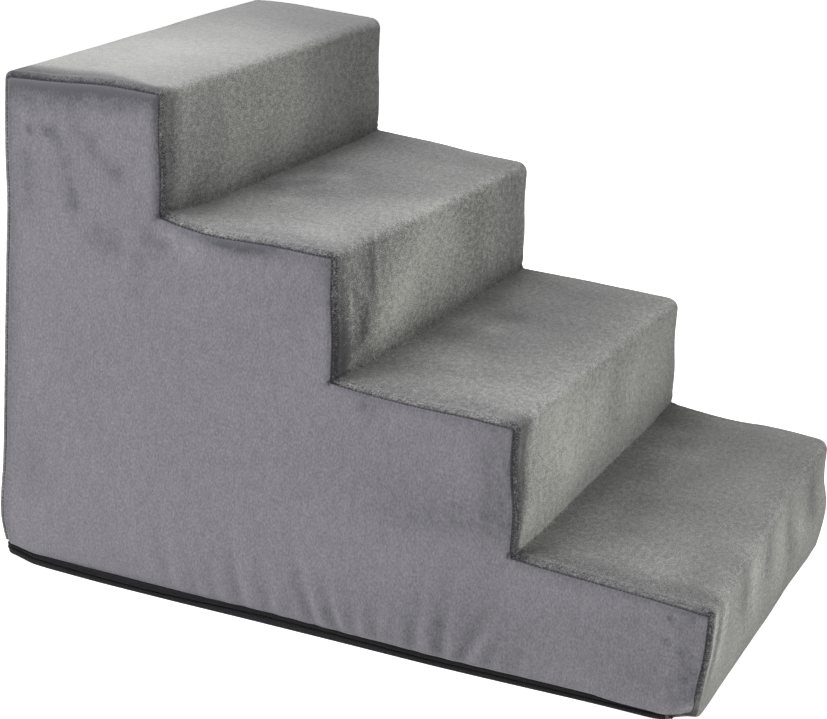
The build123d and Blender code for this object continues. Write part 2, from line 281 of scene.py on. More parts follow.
def corner_star(across, along, seed):
    """Short folds that run out from the stitches in an inner corner."""
    reach, angle = np.hypot(across, along), np.arctan2(along, across)
    fold = np.cos(5 * angle + seed) + 0.5 * np.cos(9 * angle + 2.3 * seed)
    return 0.0006 * fold * np.exp(-reach / 0.013) * (1 - np.exp(-reach / 0.003))


# How the used block has settled at each nose and inner corner, from the rear top down to the lowest nose.
# Each row is x, z, then the shift in x and z at the near side and at the far side, in metres.
SETTLING = [(REAR_X, STEPS * RISE, -0.0030, -0.0026, 0.0041, 0.0055),
            (NOSE_X[3], NOSE_Z[3], 0.0042, 0.0018, 0.0035, 0.0037),
            (NOSE_X[3], 3 * RISE, 0.0075, 0.0012, 0.0071, -0.0009),
            (NOSE_X[2], NOSE_Z[2], -0.0007, 0.0030, 0.0014, -0.0047),
            (NOSE_X[2], 2 * RISE, 0.0031, 0.0018, 0.0045, -0.0017),
            (NOSE_X[1], NOSE_Z[1], -0.0030, 0.0029, -0.0008, -0.0030),
            (NOSE_X[1], RISE, 0.0033, -0.0010, 0.0030, -0.0027),
            (NOSE_X[0], NOSE_Z[0], 0.0023, -0.0003, -0.0075, 0.0014)]
# Places by x and z that don't move
STILL = [(REAR_X, 0.06), (-0.15, 0.06), (0, 0.06), (0.15, 0.03), (FRONT_X, 0), (REAR_X, 0.2), (-0.15, 0.2)]
# How near to a corner its shift counts in full, and the height of what the floor holds still
CORNER_REACH, HELD_HEIGHT = 0.02, 0.015
BELLY_BULGE, REAR_FOOT_LIFT = 0.0052, 0.004
FRONT_FOOT_PUSH, FRONT_FOOT_REACH = (-0.002, 0.012, 0.006), 0.011


def settled(points):
    """Points moved as the soft block has settled: by the nearest corners' shifts, and not at the floor."""
    moved, (x, y, z) = np.array(points, float), points.T
    far = np.clip((y + SIDE_Y) / WIDTH, 0, 1)
    total, shift = np.zeros(len(moved)), np.zeros((len(moved), 2))
    for at_x, at_z, near_x, near_z, far_x, far_z in SETTLING + [(*spot, 0, 0, 0, 0) for spot in STILL]:
        pull = 1 / ((x - at_x) ** 2 + (z - at_z) ** 2 + CORNER_REACH**2) ** 2
        total += pull
        shift[:, 0] += pull * ((1 - far) * near_x + far * far_x)
        shift[:, 1] += pull * ((1 - far) * near_z + far * far_z)
    moved[:, [0, 2]] += shift / total[:, None] * past(z, HELD_HEIGHT, 0.05)[:, None]
    # The near side bulges out low down, up to where the zip ends. Its rear foot is lifted a little by the
    # turn of the zip, and its front foot is pushed in.
    low = before(z, 0.09, 0.07) * before(x, 0.25, 0.18) * before(y, 0, 0.19)
    moved[:, 1] -= BELLY_BULGE * low
    rear = before(x, -0.262, 0.03) * before(y, -0.16, 0.03)
    moved[:, 2] += REAR_FOOT_LIFT * rear * before(z, 0.05, 0.03)
    from_foot = points - (FRONT_X - FRONT_TUCK, -SIDE_Y, 0)
    pushed = np.exp(-(from_foot**2).sum(axis=1) / (2 * FRONT_FOOT_REACH**2))
    moved += pushed[:, None] * np.array(FRONT_FOOT_PUSH)
    return moved


# The simulated swelling of the cover, and the most that any of its points may move by it
PRESSURE, STIFFNESS, FRAMES = 4.0, 60, 20
SWELL_CAP = 0.0018


def added(name, data):
    """A new object in the scene."""
    made = bpy.data.objects.new(name, data)
    bpy.context.scene.collection.objects.link(made)
    return made


def shaped(made):
    """A mesh as an object's modifiers leave it."""
    return bpy.data.meshes.new_from_object(made.evaluated_get(bpy.context.evaluated_depsgraph_get()))


def read_out(mesh, what):
    """The coordinates or the normals of a mesh's points."""
    values = np.empty(len(mesh.vertices) * 3)
    mesh.vertices.foreach_get(what, values)
    return values.reshape(-1, 3)


def swelled(points, faces, held):
    """How far the points of a coarse cloth move when it is simulated, with the foam pressing it out and its
    seams holding it. Held is 1 where a point can't move."""
    mesh = bpy.data.meshes.new("trial cloth")
    mesh.from_pydata([tuple(p) for p in points], [], faces)
    trial = added("trial cloth", mesh)
    group = trial.vertex_groups.new(name="held")
    for index, weight in enumerate(held):
        group.add([index], float(weight), "REPLACE")
    cloth = trial.modifiers.new("cover cloth", "CLOTH")
    cloth.settings.vertex_group_mass = "held"
    cloth.settings.use_pressure = True
    cloth.settings.uniform_pressure_force = PRESSURE
    cloth.settings.effector_weights.gravity = 0.0
    cloth.settings.tension_stiffness = cloth.settings.compression_stiffness = STIFFNESS
    cloth.point_cache.frame_start, cloth.point_cache.frame_end = 1, FRAMES
    for number in range(1, FRAMES + 1):
        bpy.context.scene.frame_set(number)
    moved = read_out(shaped(trial), "co") - points
    far = np.linalg.norm(moved, axis=1)
    moved *= (SWELL_CAP * np.tanh(far / SWELL_CAP) / np.maximum(far, 1e-9))[:, None]
    bpy.data.objects.remove(trial)
    bpy.context.scene.frame_set(1)
    return moved


def carried(points, coarse, moved):
    """The movement of a coarse cloth at other points, blended smoothly from the nearest of its own."""
    tree = kdtree.KDTree(len(coarse))
    for index, spot in enumerate(coarse):
        tree.insert(spot, index)
    tree.balance()
    shift = np.zeros((len(points), 3))
    for index, spot in enumerate(points):
        near = tree.find_n(spot, 9)
        edge = near[-1][2]
        weights = np.array([max(1 - distance / edge, 1e-3) ** 2 for _, _, distance in near])
        shift[index] = weights @ moved[[number for _, number, _ in near]] / weights.sum()
    return shift


def meshed(name, points, faces, material, place=None, smooth=True, pile=None, ruffled=None):
    """A mesh object. Place is each point's place on the flat cloth, in metres, pile how much paler or darker
    it reads, from marks in its pile and from painted light and shade, and ruffled how strongly the pile is
    mottled there."""
    mesh = bpy.data.meshes.new(name)
    mesh.from_pydata([tuple(p) for p in points], [], faces)
    if place is not None:
        mesh.attributes.new("cloth_place", "FLOAT_VECTOR", "POINT").data.foreach_set(
            "vector", np.ascontiguousarray(place, np.float32).ravel())
    for layer, values in (("pile_marks_painted_light_and_shade", pile), ("pile_ruffled", ruffled)):
        if values is not None:
            mesh.attributes.new(layer, "FLOAT", "POINT").data.foreach_set(
                "value", np.ascontiguousarray(values, np.float32))
    mesh.polygons.foreach_set("use_smooth", [smooth] * len(mesh.polygons))
    mesh.materials.append(material)
    return added(name, mesh)


def grid_faces(rows, columns):
    """Quads of a grid whose points run row by row. Their fronts face up where rows run +X and columns +Y."""
    return [(r * columns + c, (r + 1) * columns + c, (r + 1) * columns + c + 1, r * columns + c + 1)
            for r in range(rows - 1) for c in range(columns - 1)]


def thickened(piece, thickness):
    """Gives a cloth its thickness, on the side that its faces turn away from."""
    made = piece.modifiers.new("cloth thickness", "SOLIDIFY")
    made.thickness, made.offset = thickness, -1
    return piece


# Materials
def paint(code):
    """Linear colour of an sRGB hex code."""
    parts = [int(code[i:i + 2], 16) / 255 for i in (1, 3, 5)]
    return (*[p / 12.92 if p <= 0.04045 else ((p + 0.055) / 1.055) ** 2.4 for p in parts], 1.0)


def plugged(tree, node, **inputs):
    """Gives a node's inputs a value or a link each. An input is named, or i0, i1 by number."""
    for name, value in inputs.items():
        socket = node.inputs[int(name[1:]) if name[1:].isdigit() else name.replace("_", " ")]
        if isinstance(value, bpy.types.NodeSocket):
            tree.links.new(value, socket)
        else:
            socket.default_value = value
    return node


def add_node(tree, kind, settings=None, **inputs):
    """Adds a node with its settings and its inputs."""
    made = tree.nodes.new("ShaderNode" + kind)
    for name, value in (settings or {}).items():
        setattr(made, name, value)
    return plugged(tree, made, **inputs)


def worked_out(tree, operation, *values):
    """The result of a sum, a product or the like."""
    named = {f"i{number}": value for number, value in enumerate(values)}
    return add_node(tree, "Math", {"operation": operation}, **named).outputs[0]


def layer(tree, name, output):
    """A value that a mesh holds at its points."""
    return add_node(tree, "Attribute", {"attribute_name": name}).outputs[output]


def ramped(tree, shade, *stops):
    """The colour of a shade, on a ramp whose stops are places and colour codes."""
    ramp = add_node(tree, "ValToRGB", Fac=shade)
    bar = ramp.color_ramp.elements
    bar[0].position, bar[1].position = stops[0][0], stops[-1][0]
    for place, _ in stops[1:-1]:
        bar.new(place)
    for stop, (_, code) in zip(bar, stops):
        stop.color = paint(code)
    return ramp.outputs["Color"]


def bumped(tree, strength, distance, height):
    """The direction of a surface with a fine relief."""
    return add_node(tree, "Bump", Strength=strength, Distance=distance, Height=height).outputs["Normal"]


def started(name):
    """A new material with its tree, its shader and no other node than the output."""
    made = bpy.data.materials.new(name)
    made.use_nodes = True
    return made, made.node_tree, made.node_tree.nodes["Principled BSDF"]


def velour(name, dull, main, bright, streak, contrast, grain):
    """Short-pile polyester velour, cut and brushed. The pile leans in patches, which read darker or paler,
    it glows at grazing angles and shows no gloss. Streak stretches the mottling along the cloth, contrast
    scales its patches and grain its tufts."""
    made, tree, shader = started(name)
    place = layer(tree, "cloth_place", "Vector")
    stretch = add_node(tree, "VectorMath", {"operation": "MULTIPLY"}, i0=place, i1=(1 / streak, 1, 1))
    brushed = stretch.outputs[0]
    # Size, depth and octaves of each part of the mottling: the broad leaning of the pile, its clouds, and its
    # tufts. The real tufts are under 1 mm, and drawn at 1.4 mm they show.
    parts = ((0.07, 0.09 * contrast, 1.0, place), (0.0065, 0.35 * contrast, 4.0, brushed),
             (0.0014, grain, 1.0, brushed))
    shade = 0.0
    for size, depth, octaves, spot in parts:
        speck = add_node(tree, "TexNoise", Vector=spot, Scale=1 / size, Detail=octaves, Roughness=0.72,
                         Distortion=0.3).outputs["Fac"]
        swing = add_node(tree, "MapRange", Value=speck, From_Min=0.3, From_Max=0.7,
                         To_Min=-depth, To_Max=depth)
        shade = worked_out(tree, "ADD", shade, swing.outputs[0])
    shade = worked_out(tree, "MULTIPLY_ADD", shade, layer(tree, "pile_ruffled", "Fac"), 0.5)
    # The mesh's marks in the pile come in here, and with them its painted light and shade.
    shade = worked_out(tree, "ADD", shade, layer(tree, "pile_marks_painted_light_and_shade", "Fac"))
    plugged(tree, shader, Base_Color=ramped(tree, shade, (0, dull), (0.5, main), (1, bright)),
            Normal=bumped(tree, 0.35, 0.0006, speck), Roughness=0.95, Specular_IOR_Level=0.1,
            Sheen_Weight=0.5, Sheen_Roughness=0.5, Sheen_Tint=paint("#f4f4f2"))
    return made


def woven(name, thread, gap, pitch, roughness):
    """Plain-woven polyester: fine crossing threads with darker gaps, nearly matt."""
    made, tree, shader = started(name)
    spot = layer(tree, "cloth_place", "Vector")
    # A wave texture at scale 1 repeats each 0.314 m.
    warp, weft = (add_node(tree, "TexWave", {"bands_direction": way}, Vector=spot, Scale=0.314 / pitch,
                           Distortion=0.4, Detail=1.0).outputs["Fac"] for way in "XY")
    crossing = worked_out(tree, "MULTIPLY", warp, weft)
    worn = add_node(tree, "TexNoise", Vector=spot, Scale=1 / 0.02, Detail=4.0).outputs["Fac"]
    shade = worked_out(tree, "MULTIPLY_ADD", crossing, 0.7, worn)
    plugged(tree, shader, Base_Color=ramped(tree, shade, (0.3, gap), (1, thread)),
            Normal=bumped(tree, 0.6, 0.0003, crossing), Roughness=roughness, Specular_IOR_Level=0.3)
    return made


def grained(name, low, high, grain, roughness, depth, ior=1.5):
    """A finish with a fine random grain: foam cells, spun or drawn fibre, or painted metal."""
    made, tree, shader = started(name)
    spot = add_node(tree, "TexCoord").outputs["Object"]
    speck = add_node(tree, "TexNoise", Vector=spot, Scale=1 / grain, Detail=4.0, Roughness=0.6).outputs["Fac"]
    rub = add_node(tree, "MapRange", Value=speck, To_Min=roughness - 0.06, To_Max=roughness + 0.06).outputs[0]
    plugged(tree, shader, Base_Color=ramped(tree, speck, (0.3, low), (0.7, high)),
            Normal=bumped(tree, 0.4, depth, speck), Roughness=rub, IOR=ior)
    return made


side_velour = velour("brushed velour, sides", "#5e5e64", "#88868d", "#b0aeb4",
                     streak=1.7, contrast=0.25, grain=0.16)
strip_velour = velour("brushed velour, treads and risers", "#303034", "#808081", "#c6c7c1",
                      streak=0.6, contrast=0.56, grain=0.30)
lining_cloth = woven("woven polyester base cloth", "#2a2a2b", "#121213", 0.0012, 0.9)
zip_cloth = woven("woven polyester zip tape", "#1e1e26", "#0f0f14", 0.0008, 0.85)
sewing_thread = grained("spun polyester thread", "#2c2c34", "#50505c", 0.0006, 0.55, 0.0001)
coil_fibre = grained("drawn polyester zip coil", "#141312", "#23211f", 0.001, 0.7, 0.00005, ior=1.4)
zip_metal = grained("black painted zinc casting", "#1a1a1b", "#2c2c2d", 0.0007, 0.38, 0.00005)
foam_cells = grained("cut polyurethane foam", "#c9c2a4", "#e2dcc0", 0.0012, 0.95, 0.0006)

# Cover
# The cover's outline in the middle of its width and beside each seam, and the seam itself, which turns sharp
# corners. The seams pull the inner corners up, each by its own amount.
LIFTS = {"middle": [(0.0030, 0.05), (0.0030, 0.05), (0.0035, 0.05)],
         "near": [(0.0050, 0.11), (0.0070, 0.09), (0.0090, 0.06)],
         "far": [(0.0060, 0.08), (0.0025, 0.06), (0.0055, 0.08)]}
MIDDLE = cover_outline(0, 0.0080, 0.0030, LIFTS["middle"], 0.003)
# Length of the cover's mesh cells away from its seams and corners
CLOTH_STEP = 0.0036
SHARES = spread(*MIDDLE, CLOTH_STEP)
LINES = {"middle": placed(*MIDDLE, SHARES)}
for side, nose in (("near", 0.0065), ("far", 0.0095)):
    LINES[side] = placed(*cover_outline(0, nose, 0.0025, LIFTS[side], 0.003), SHARES)
    LINES[side + " seam"] = placed(*cover_outline(SEAM_INSET, 0.0028, 0.0012, LIFTS[side], 0.0015), SHARES)
RUN = run_along(LINES["middle"])
SEAM_Y = SIDE_Y - CLOTH
# How far in from each side the seam draws the cover's outline
SIDE_REACH = 0.07
# The strip rolls over to the seam in a tighter curve than the side does.
ROLL = 0.005
ROLL_WIDTH = math.sqrt(ROLL**2 - (ROLL - SEAM_INSET) ** 2)
HALF_WIDTH = SEAM_Y - ROLL_WIDTH + ROLL * math.asin(ROLL_WIDTH / ROLL)
INNER_CORNERS = [(NOSE_X[step], step * RISE + LIFTS["near"][step - 1][0]) for step in range(1, STEPS)]


def strip_form(edges):
    """Points, outward directions and cloth places of the strip, for distances edges from the near seam."""
    y = edges - SEAM_Y
    near, far = (eased(1 - (SEAM_Y + sign * y) / SIDE_REACH)[None, :, None] for sign in (1, -1))
    plan = sum(share * LINES[name][:, None, :] for share, name in
               ((near, "near"), (far, "far"), (1 - near - far, "middle")))
    bend = np.clip(np.abs(y) - (SEAM_Y - ROLL_WIDTH), 0, None)
    inset = (ROLL - np.sqrt(ROLL**2 - bend**2)) / SEAM_INSET
    for side, here in (("near", y < 0), ("far", y >= 0)):
        drawn = LINES[side + " seam"] - LINES[side]
        plan = plan + drawn[:, None, :] * (inset * here)[None, :, None]
    points = np.stack([plan[..., 0], y * (1 - tuck(plan[..., 1]) / SEAM_Y), plan[..., 1]], axis=-1)
    out = np.cross(np.gradient(points, axis=0), np.gradient(points, axis=1))
    for column, side in ((0, -1), (-1, 1)):
        out[:, column] = seam_out(seam_of(side), side)
    out /= np.linalg.norm(out, axis=-1)[..., None]
    across = np.sign(y) * (np.minimum(np.abs(y), SEAM_Y - ROLL_WIDTH) + ROLL * np.arcsin(bend / ROLL))
    place = np.stack(np.broadcast_arrays(RUN[:, None], across[None, :], 0.0), axis=-1)
    return points.reshape(-1, 3), out.reshape(-1, 3), place.reshape(-1, 3)


def seam_of(side):
    """The line of a side's seam. Side is -1 for the near one and 1 for the far one."""
    return LINES["near seam" if side < 0 else "far seam"]


def seam_out(seam, sign):
    """Direction out of the seam's groove, halfway between the strip and the side."""
    normals = normals_of(seam)
    return np.column_stack((normals[:, 0] * 0.6, np.full(len(seam), sign * 0.8), normals[:, 1] * 0.6))


def nap(run, y, marks):
    """Strokes on the strip, placed by their corner number and share along the outline, and by y."""
    return strokes(run, y, [(np.interp(share, SHARES, RUN), *rest) for share, *rest in marks])


# Creases pressed into the strip: outline place, y, length and width in metres, turn in degrees, and height in
# metres. They lie along the risers of steps 4 and 3 and curl round the near corner of the lowest nose.
STRIP_CREASES = [
    (4.4, -0.1225, 0.036, 0.002, 6, 0.0011), (4.38, -0.1275, 0.034, 0.003, 6, -0.001),
    (2.35, -0.035, 0.03, 0.0025, -6, 0.0006), (2.4, -0.03, 0.034, 0.003, -6, -0.0006),
    (2.3, -0.02, 0.026, 0.0025, -8, 0.0005), (2.36, -0.012, 0.026, 0.003, -10, -0.0004),
    (4.3, -0.16, 0.02, 0.008, 10, 0.0006), (4.55, -0.15, 0.015, 0.007, -15, 0.0006),
    (7.8, -0.176, 0.004, 0.012, 20, 0.0008), (7.86, -0.18, 0.003, 0.011, 35, -0.0007),
    (7.91, -0.182, 0.003, 0.009, 50, 0.0008), (7.95, -0.178, 0.003, 0.01, 20, -0.0006),
    (8.08, -0.175, 0.012, 0.002, 12, 0.0006), (8.08, -0.168, 0.014, 0.0025, -8, -0.0005),
    (8.09, -0.16, 0.012, 0.002, 5, 0.0005), (8.08, -0.148, 0.01, 0.0025, -10, 0.0004),
    (5.45, -0.165, 0.002, 0.014, 40, 0.0004), (3.15, -0.18, 0.003, 0.01, 60, 0.0005),
    (2.3, 0.03, 0.03, 0.004, -12, 0.0003), (6.45, -0.02, 0.02, 0.005, 35, 0.0004)]


def strip_relief(place):
    """Height of the strip's soft unevenness over its even form."""
    run, y = place[:, 0], place[:, 1]
    edge = HALF_WIDTH - np.abs(y)
    height = seam_dip(edge) + seam_pucker(run, edge, 2.0 + (y > 0))
    height += (0.0007 * rough(place, 0.075, 1.0)
               + 0.0002 * rough(place * (0.5, 1, 1), 0.022, 2.0)) * eased(edge / 0.01)
    for corner, (x, z) in enumerate(INNER_CORNERS):
        middle = RUN[np.argmin(np.hypot(*(LINES["middle"] - (x, z)).T))]
        height += corner_star(edge, run - middle, corner + 3.0 * (y > 0))
    return height + nap(run, y, STRIP_CREASES)


# Strokes and patches on the strip, as the rows above, but with how much paler each reads. Some are marks in
# the pile. The broad pale patches on the top tread and on risers 3 and 2 are painted light, and the pale and
# dark lines along the creases are painted light and shade.
STRIP_MARKS_AND_PAINTED_SHADING = [
    (1.5, -0.1, 0.12, 0.14, 0, 0.24), (1.5, 0.02, 0.1, 0.1, 0, 0.06), (1.5, 0.17, 0.07, 0.05, 0, -0.06),
    (2.45, -0.06, 0.035, 0.07, 25, -0.02), (2.4, 0.14, 0.09, 0.08, 0, -0.2),
    (2.3, -0.14, 0.05, 0.05, 0, -0.12), (3.8, -0.12, 0.035, 0.08, 0, 0.08), (3.5, 0.05, 0.06, 0.14, 0, -0.05),
    (4.45, -0.04, 0.055, 0.085, 20, 0.26), (4.75, -0.1, 0.014, 0.05, 35, 0.14),
    (4.4, 0.16, 0.06, 0.04, 0, -0.04), (4.5, -0.173, 0.03, 0.004, 6, 0.3),
    (4.3, -0.158, 0.022, 0.01, 0, 0.12), (4.62, -0.163, 0.012, 0.0035, 14, 0.2),
    (4.42, -0.122, 0.036, 0.0022, 6, 0.26), (4.3, -0.1345, 0.024, 0.005, 8, -0.3),
    (4.72, -0.152, 0.016, 0.0075, 6, -0.3), (4.9, -0.16, 0.006, 0.02, 30, 0.22),
    (4.8, -0.189, 0.022, 0.009, 0, -0.3), (4.4, -0.191, 0.05, 0.007, 0, -0.22),
    (4.58, -0.146, 0.01, 0.003, 20, -0.2), (4.2, -0.15, 0.01, 0.02, 0, -0.1),
    (3.12, -0.05, 0.012, 0.024, 10, -0.24), (3.22, -0.02, 0.01, 0.018, -20, -0.26),
    (3.16, 0.03, 0.012, 0.02, 10, -0.22), (3.36, -0.05, 0.012, 0.016, -30, -0.16),
    (3.3, -0.085, 0.014, 0.016, 20, 0.16), (3.32, 0.01, 0.01, 0.012, 0, 0.12), (3.55, 0, 0.05, 0.1, 0, -0.07),
    (3.5, 0.14, 0.06, 0.05, 0, -0.05), (3.62, -0.02, 0.014, 0.02, 10, -0.1),
    (5.18, -0.03, 0.016, 0.026, 0, -0.24), (5.3, 0.045, 0.018, 0.02, 20, -0.2),
    (5.12, 0.08, 0.012, 0.03, 0, -0.18), (5.36, -0.09, 0.016, 0.022, 0, 0.14),
    (5.32, 0, 0.01, 0.012, 0, 0.16), (5.1, 0.005, 0.008, 0.02, 0, 0.12),
    (5.45, -0.05, 0.014, 0.018, 20, -0.1), (5.5, 0.14, 0.06, 0.06, 0, -0.1),
    (5.62, -0.11, 0.012, 0.014, 0, -0.08), (5.6, 0.05, 0.08, 0.14, 0, -0.13),
    (7.2, -0.03, 0.05, 0.12, 0, -0.1), (7.5, 0.14, 0.08, 0.06, 0, -0.08), (6.5, -0.1, 0.08, 0.09, 0, 0.26),
    (6.5, 0.1, 0.07, 0.09, 0, 0.2), (6.35, -0.02, 0.014, 0.07, 40, 0.1), (6.7, -0.1, 0.012, 0.05, 45, 0.08),
    (6.25, 0.09, 0.012, 0.05, 40, 0.08), (7.12, 0.16, 0.03, 0.035, 0, -0.24),
    (7.6, 0.02, 0.08, 0.12, 0, -0.09), (7.7, 0.15, 0.08, 0.08, 0, -0.1), (7.25, 0.11, 0.014, 0.016, 0, -0.16),
    (7.2, 0.03, 0.012, 0.03, 0, -0.16), (7.3, -0.06, 0.016, 0.03, 10, -0.14),
    (7.38, 0.08, 0.02, 0.012, 30, 0.12), (7.34, -0.1, 0.02, 0.014, 0, -0.1),
    (7.45, 0.03, 0.01, 0.02, 0, -0.08), (7.85, -0.14, 0.012, 0.05, 10, -0.1),
    (5.7, 0.12, 0.06, 0.08, 0, -0.07), (5.5, -0.02, 0.06, 0.12, 0, -0.05),
    (8.3, -0.165, 0.03, 0.008, -10, 0.22), (8.25, -0.19, 0.04, 0.005, -4, 0.2),
    (8.35, -0.179, 0.04, 0.006, -6, -0.34), (8.25, -0.1, 0.03, 0.013, 20, -0.26),
    (8.4, -0.06, 0.04, 0.014, 25, 0.14), (8.25, -0.02, 0.024, 0.013, 20, -0.22),
    (8.4, 0.06, 0.04, 0.013, 25, -0.22), (8.3, 0.14, 0.03, 0.016, 20, -0.22),
    (8.5, 0.1, 0.02, 0.012, 20, 0.14), (8.4, 0.05, 0.06, 0.2, 0, 0.1)]
# Painted shade in a dark band beside the near seam, where the strip turns down to it: outline places, width
# of the band there in metres, and how dark it is
SEAM_SHADE_BAND = [
    (0.9, 0, 0), (1.03, 0.03, 0.55), (1.5, 0.022, 0.45), (1.93, 0.008, 0.4), (2.03, 0.024, 0.33),
    (2.5, 0.02, 0.32), (2.95, 0.012, 0.26), (3.08, 0.026, 0.1), (3.9, 0.026, 0.1), (4.03, 0.08, 0.2),
    (4.5, 0.078, 0.2), (4.75, 0.055, 0.24), (4.97, 0.024, 0.3), (5.08, 0.026, 0.1), (5.9, 0.026, 0.1),
    (6.03, 0.026, 0.48), (6.5, 0.016, 0.48), (6.97, 0.006, 0.4), (7.08, 0.03, 0.19), (7.9, 0.03, 0.19),
    (8.05, 0.005, 0.4), (8.9, 0.007, 0.45)]
# Painted shade on the risers and painted light on the treads right at the near seam: how much darker the
# risers and paler the treads are there, as outline places and amount, and the width of each fringe
RISER_SEAM_SHADE = [
    (1.9, 0), (2.05, 0.04), (2.9, 0.04), (2.95, 0), (3.9, 0), (4.05, 0.18), (4.9, 0.18), (4.95, 0), (5.9, 0),
    (6.05, 0.06), (6.9, 0.06), (6.95, 0)]
TREAD_SEAM_LIGHT = [
    (3, 0), (3.1, 0.03), (3.9, 0.03), (4, 0), (5, 0), (5.1, 0.06), (5.9, 0.06), (6, 0), (7, 0), (7.1, 0.07),
    (7.9, 0.07), (8, 0)]
RISER_FRINGE_WIDTH, TREAD_FRINGE_WIDTH = 0.0042, 0.008
# Painted shade along each inner corner: corner number, how dark and how wide the band on the tread is, and
# how dark the one on the riser is
CORNER_SHADE_BANDS = [(3, 0.26, 0.009, 0.26), (5, 0.26, 0.010, 0.26), (7, 0.30, 0.018, 0.08)]


def wavering(values, size, seed):
    """Smooth noise from about -1 to 1 along one line."""
    return rough(np.column_stack((values, 0 * values, 0 * values)), size, seed)


def strip_marks_and_painted_shading(place):
    """How much paler or darker the strip reads: marks in its pile, painted shade beside the near seam and in
    the inner corners, and painted light on the treads at the seam and in broad patches.
    """
    run, y = place[:, 0], place[:, 1]
    share, from_seam, still = np.interp(run, RUN, SHARES), y + HALF_WIDTH, 0 * run
    # Painted shade in a band beside the near seam, with a wandering width
    width, depth = looked_up(share, SEAM_SHADE_BAND)
    width = width * (1 + 0.3 * wavering(run, 0.03, 5.0))
    # Marks in the pile and painted light and shade over the strip, less the painted shade beside the seam
    lean = nap(run, y, STRIP_MARKS_AND_PAINTED_SHADING) - depth * eased(1.5 - from_seam / (width + 1e-4))
    # Painted shade on the risers and painted light on the treads, right at the near seam
    lean -= looked_up(share, RISER_SEAM_SHADE)[0] * bell(from_seam, RISER_FRINGE_WIDTH)
    lean += looked_up(share, TREAD_SEAM_LIGHT)[0] * bell(from_seam, TREAD_FRINGE_WIDTH)
    # Painted shade in each inner corner, on the tread and on the riser below it
    for corner, depth, reach, riser_depth in CORNER_SHADE_BANDS:
        past = run - np.interp(corner, SHARES, RUN)
        reach = reach * (1 + 0.5 * rough(np.column_stack((still, y, still)), 0.04, corner))
        above = 0.012 * (1 + 0.6 * rough(np.column_stack((still, y, still)), 0.02, corner + 20.0))
        on_tread = depth * np.exp(-((np.clip(past, 0, None) / reach) ** 1.5))
        lean -= np.where(past > -0.001, on_tread, riser_depth * np.exp(np.clip(past, None, 0) / above))
    return lean


def strip_swell(edges):
    """The strip's simulated swelling at its own grid. It is held at the seams, the noses, the inner corners
    and the hems."""
    rows = np.unique(np.interp(np.arange(0, RUN[-1], 0.008), RUN, np.arange(len(RUN))).astype(int))
    columns = np.linspace(0, 2 * SEAM_Y, 51)
    form, _, _ = strip_form(columns)
    form = form.reshape(len(RUN), len(columns), 3)[rows]
    knots = np.interp(np.arange(0, 10), SHARES, RUN)
    clear = np.minimum(np.abs(RUN[rows][:, None] - knots).min(axis=1)[:, None],
                       np.minimum(columns, 2 * SEAM_Y - columns)[None, :])
    held = np.clip(1 - (clear - 0.004) / 0.012, 0, 1)
    held[clear <= 0.004] = 1
    low = eased(1 - (form[:, :, 2] - 0.012) / 0.03)
    moved = swelled(form.reshape(-1, 3), grid_faces(len(rows), len(columns)),
                    np.maximum(held, low).ravel()).reshape(len(rows), len(columns), 3)
    along = [at_run(moved[:, column], RUN[rows], RUN) for column in range(len(columns))]
    return np.vstack([at_run(across, columns, edges) for across in np.stack(along, axis=1)])


# Distances of the strip's columns from the near seam. They lie closer together beside both seams.
near_edges = np.array([0, 0.1, 0.25, 0.5, 0.85, 1.3, 1.9, 2.7, 3.7, 5, 6.6, 8.6, 11.2, 14.6, 19]) / 1000
MIDDLE_START, MIDDLE_COLUMNS = 0.0252, 72
middle_edges = np.linspace(MIDDLE_START, 2 * SEAM_Y - MIDDLE_START, MIDDLE_COLUMNS)
strip_edges = np.concatenate((near_edges, middle_edges, 2 * SEAM_Y - near_edges[::-1]))
points, out, place = strip_form(strip_edges)
swell = strip_swell(strip_edges)
points = settled(points + swell + out * strip_relief(place)[:, None])
points[:, 2] = np.maximum(points[:, 2], FLOOR_GAP)
# How strongly the pile is mottled at outline places: most on the risers, where hands and paws ruffle it, and
# least on the top and lowest treads
RUFFLED = [
    (0, 1), (1, 1), (1.1, 0.65), (1.95, 0.65), (2.05, 1.05), (2.95, 1.05), (3.1, 1.1), (3.9, 1), (4.05, 1.5),
    (4.9, 1.4), (5.1, 1.1), (5.9, 1.1), (6.1, 1.15), (6.9, 1.15), (7.1, 1.1), (7.9, 0.75), (8.1, 1.3)]
ruffled = [(np.interp(share, SHARES, RUN), amount) for share, amount in RUFFLED]
cover_strip = meshed("cover_strip", points, grid_faces(len(RUN), len(strip_edges)), strip_velour, place,
                     pile=strip_marks_and_painted_shading(place), ruffled=looked_up(place[:, 0], ruffled)[0])
thickened(cover_strip, CLOTH)


def swayed(x, table):
    """Values given at some places in x, joined by a smooth curve."""
    fine, window = np.arange(-0.35, 0.35, 0.002), np.hanning(19)
    line = np.convolve(np.pad(looked_up(fine, table)[0], 9, "edge"), window / window.sum(), "valid")
    return np.interp(x, fine, line)


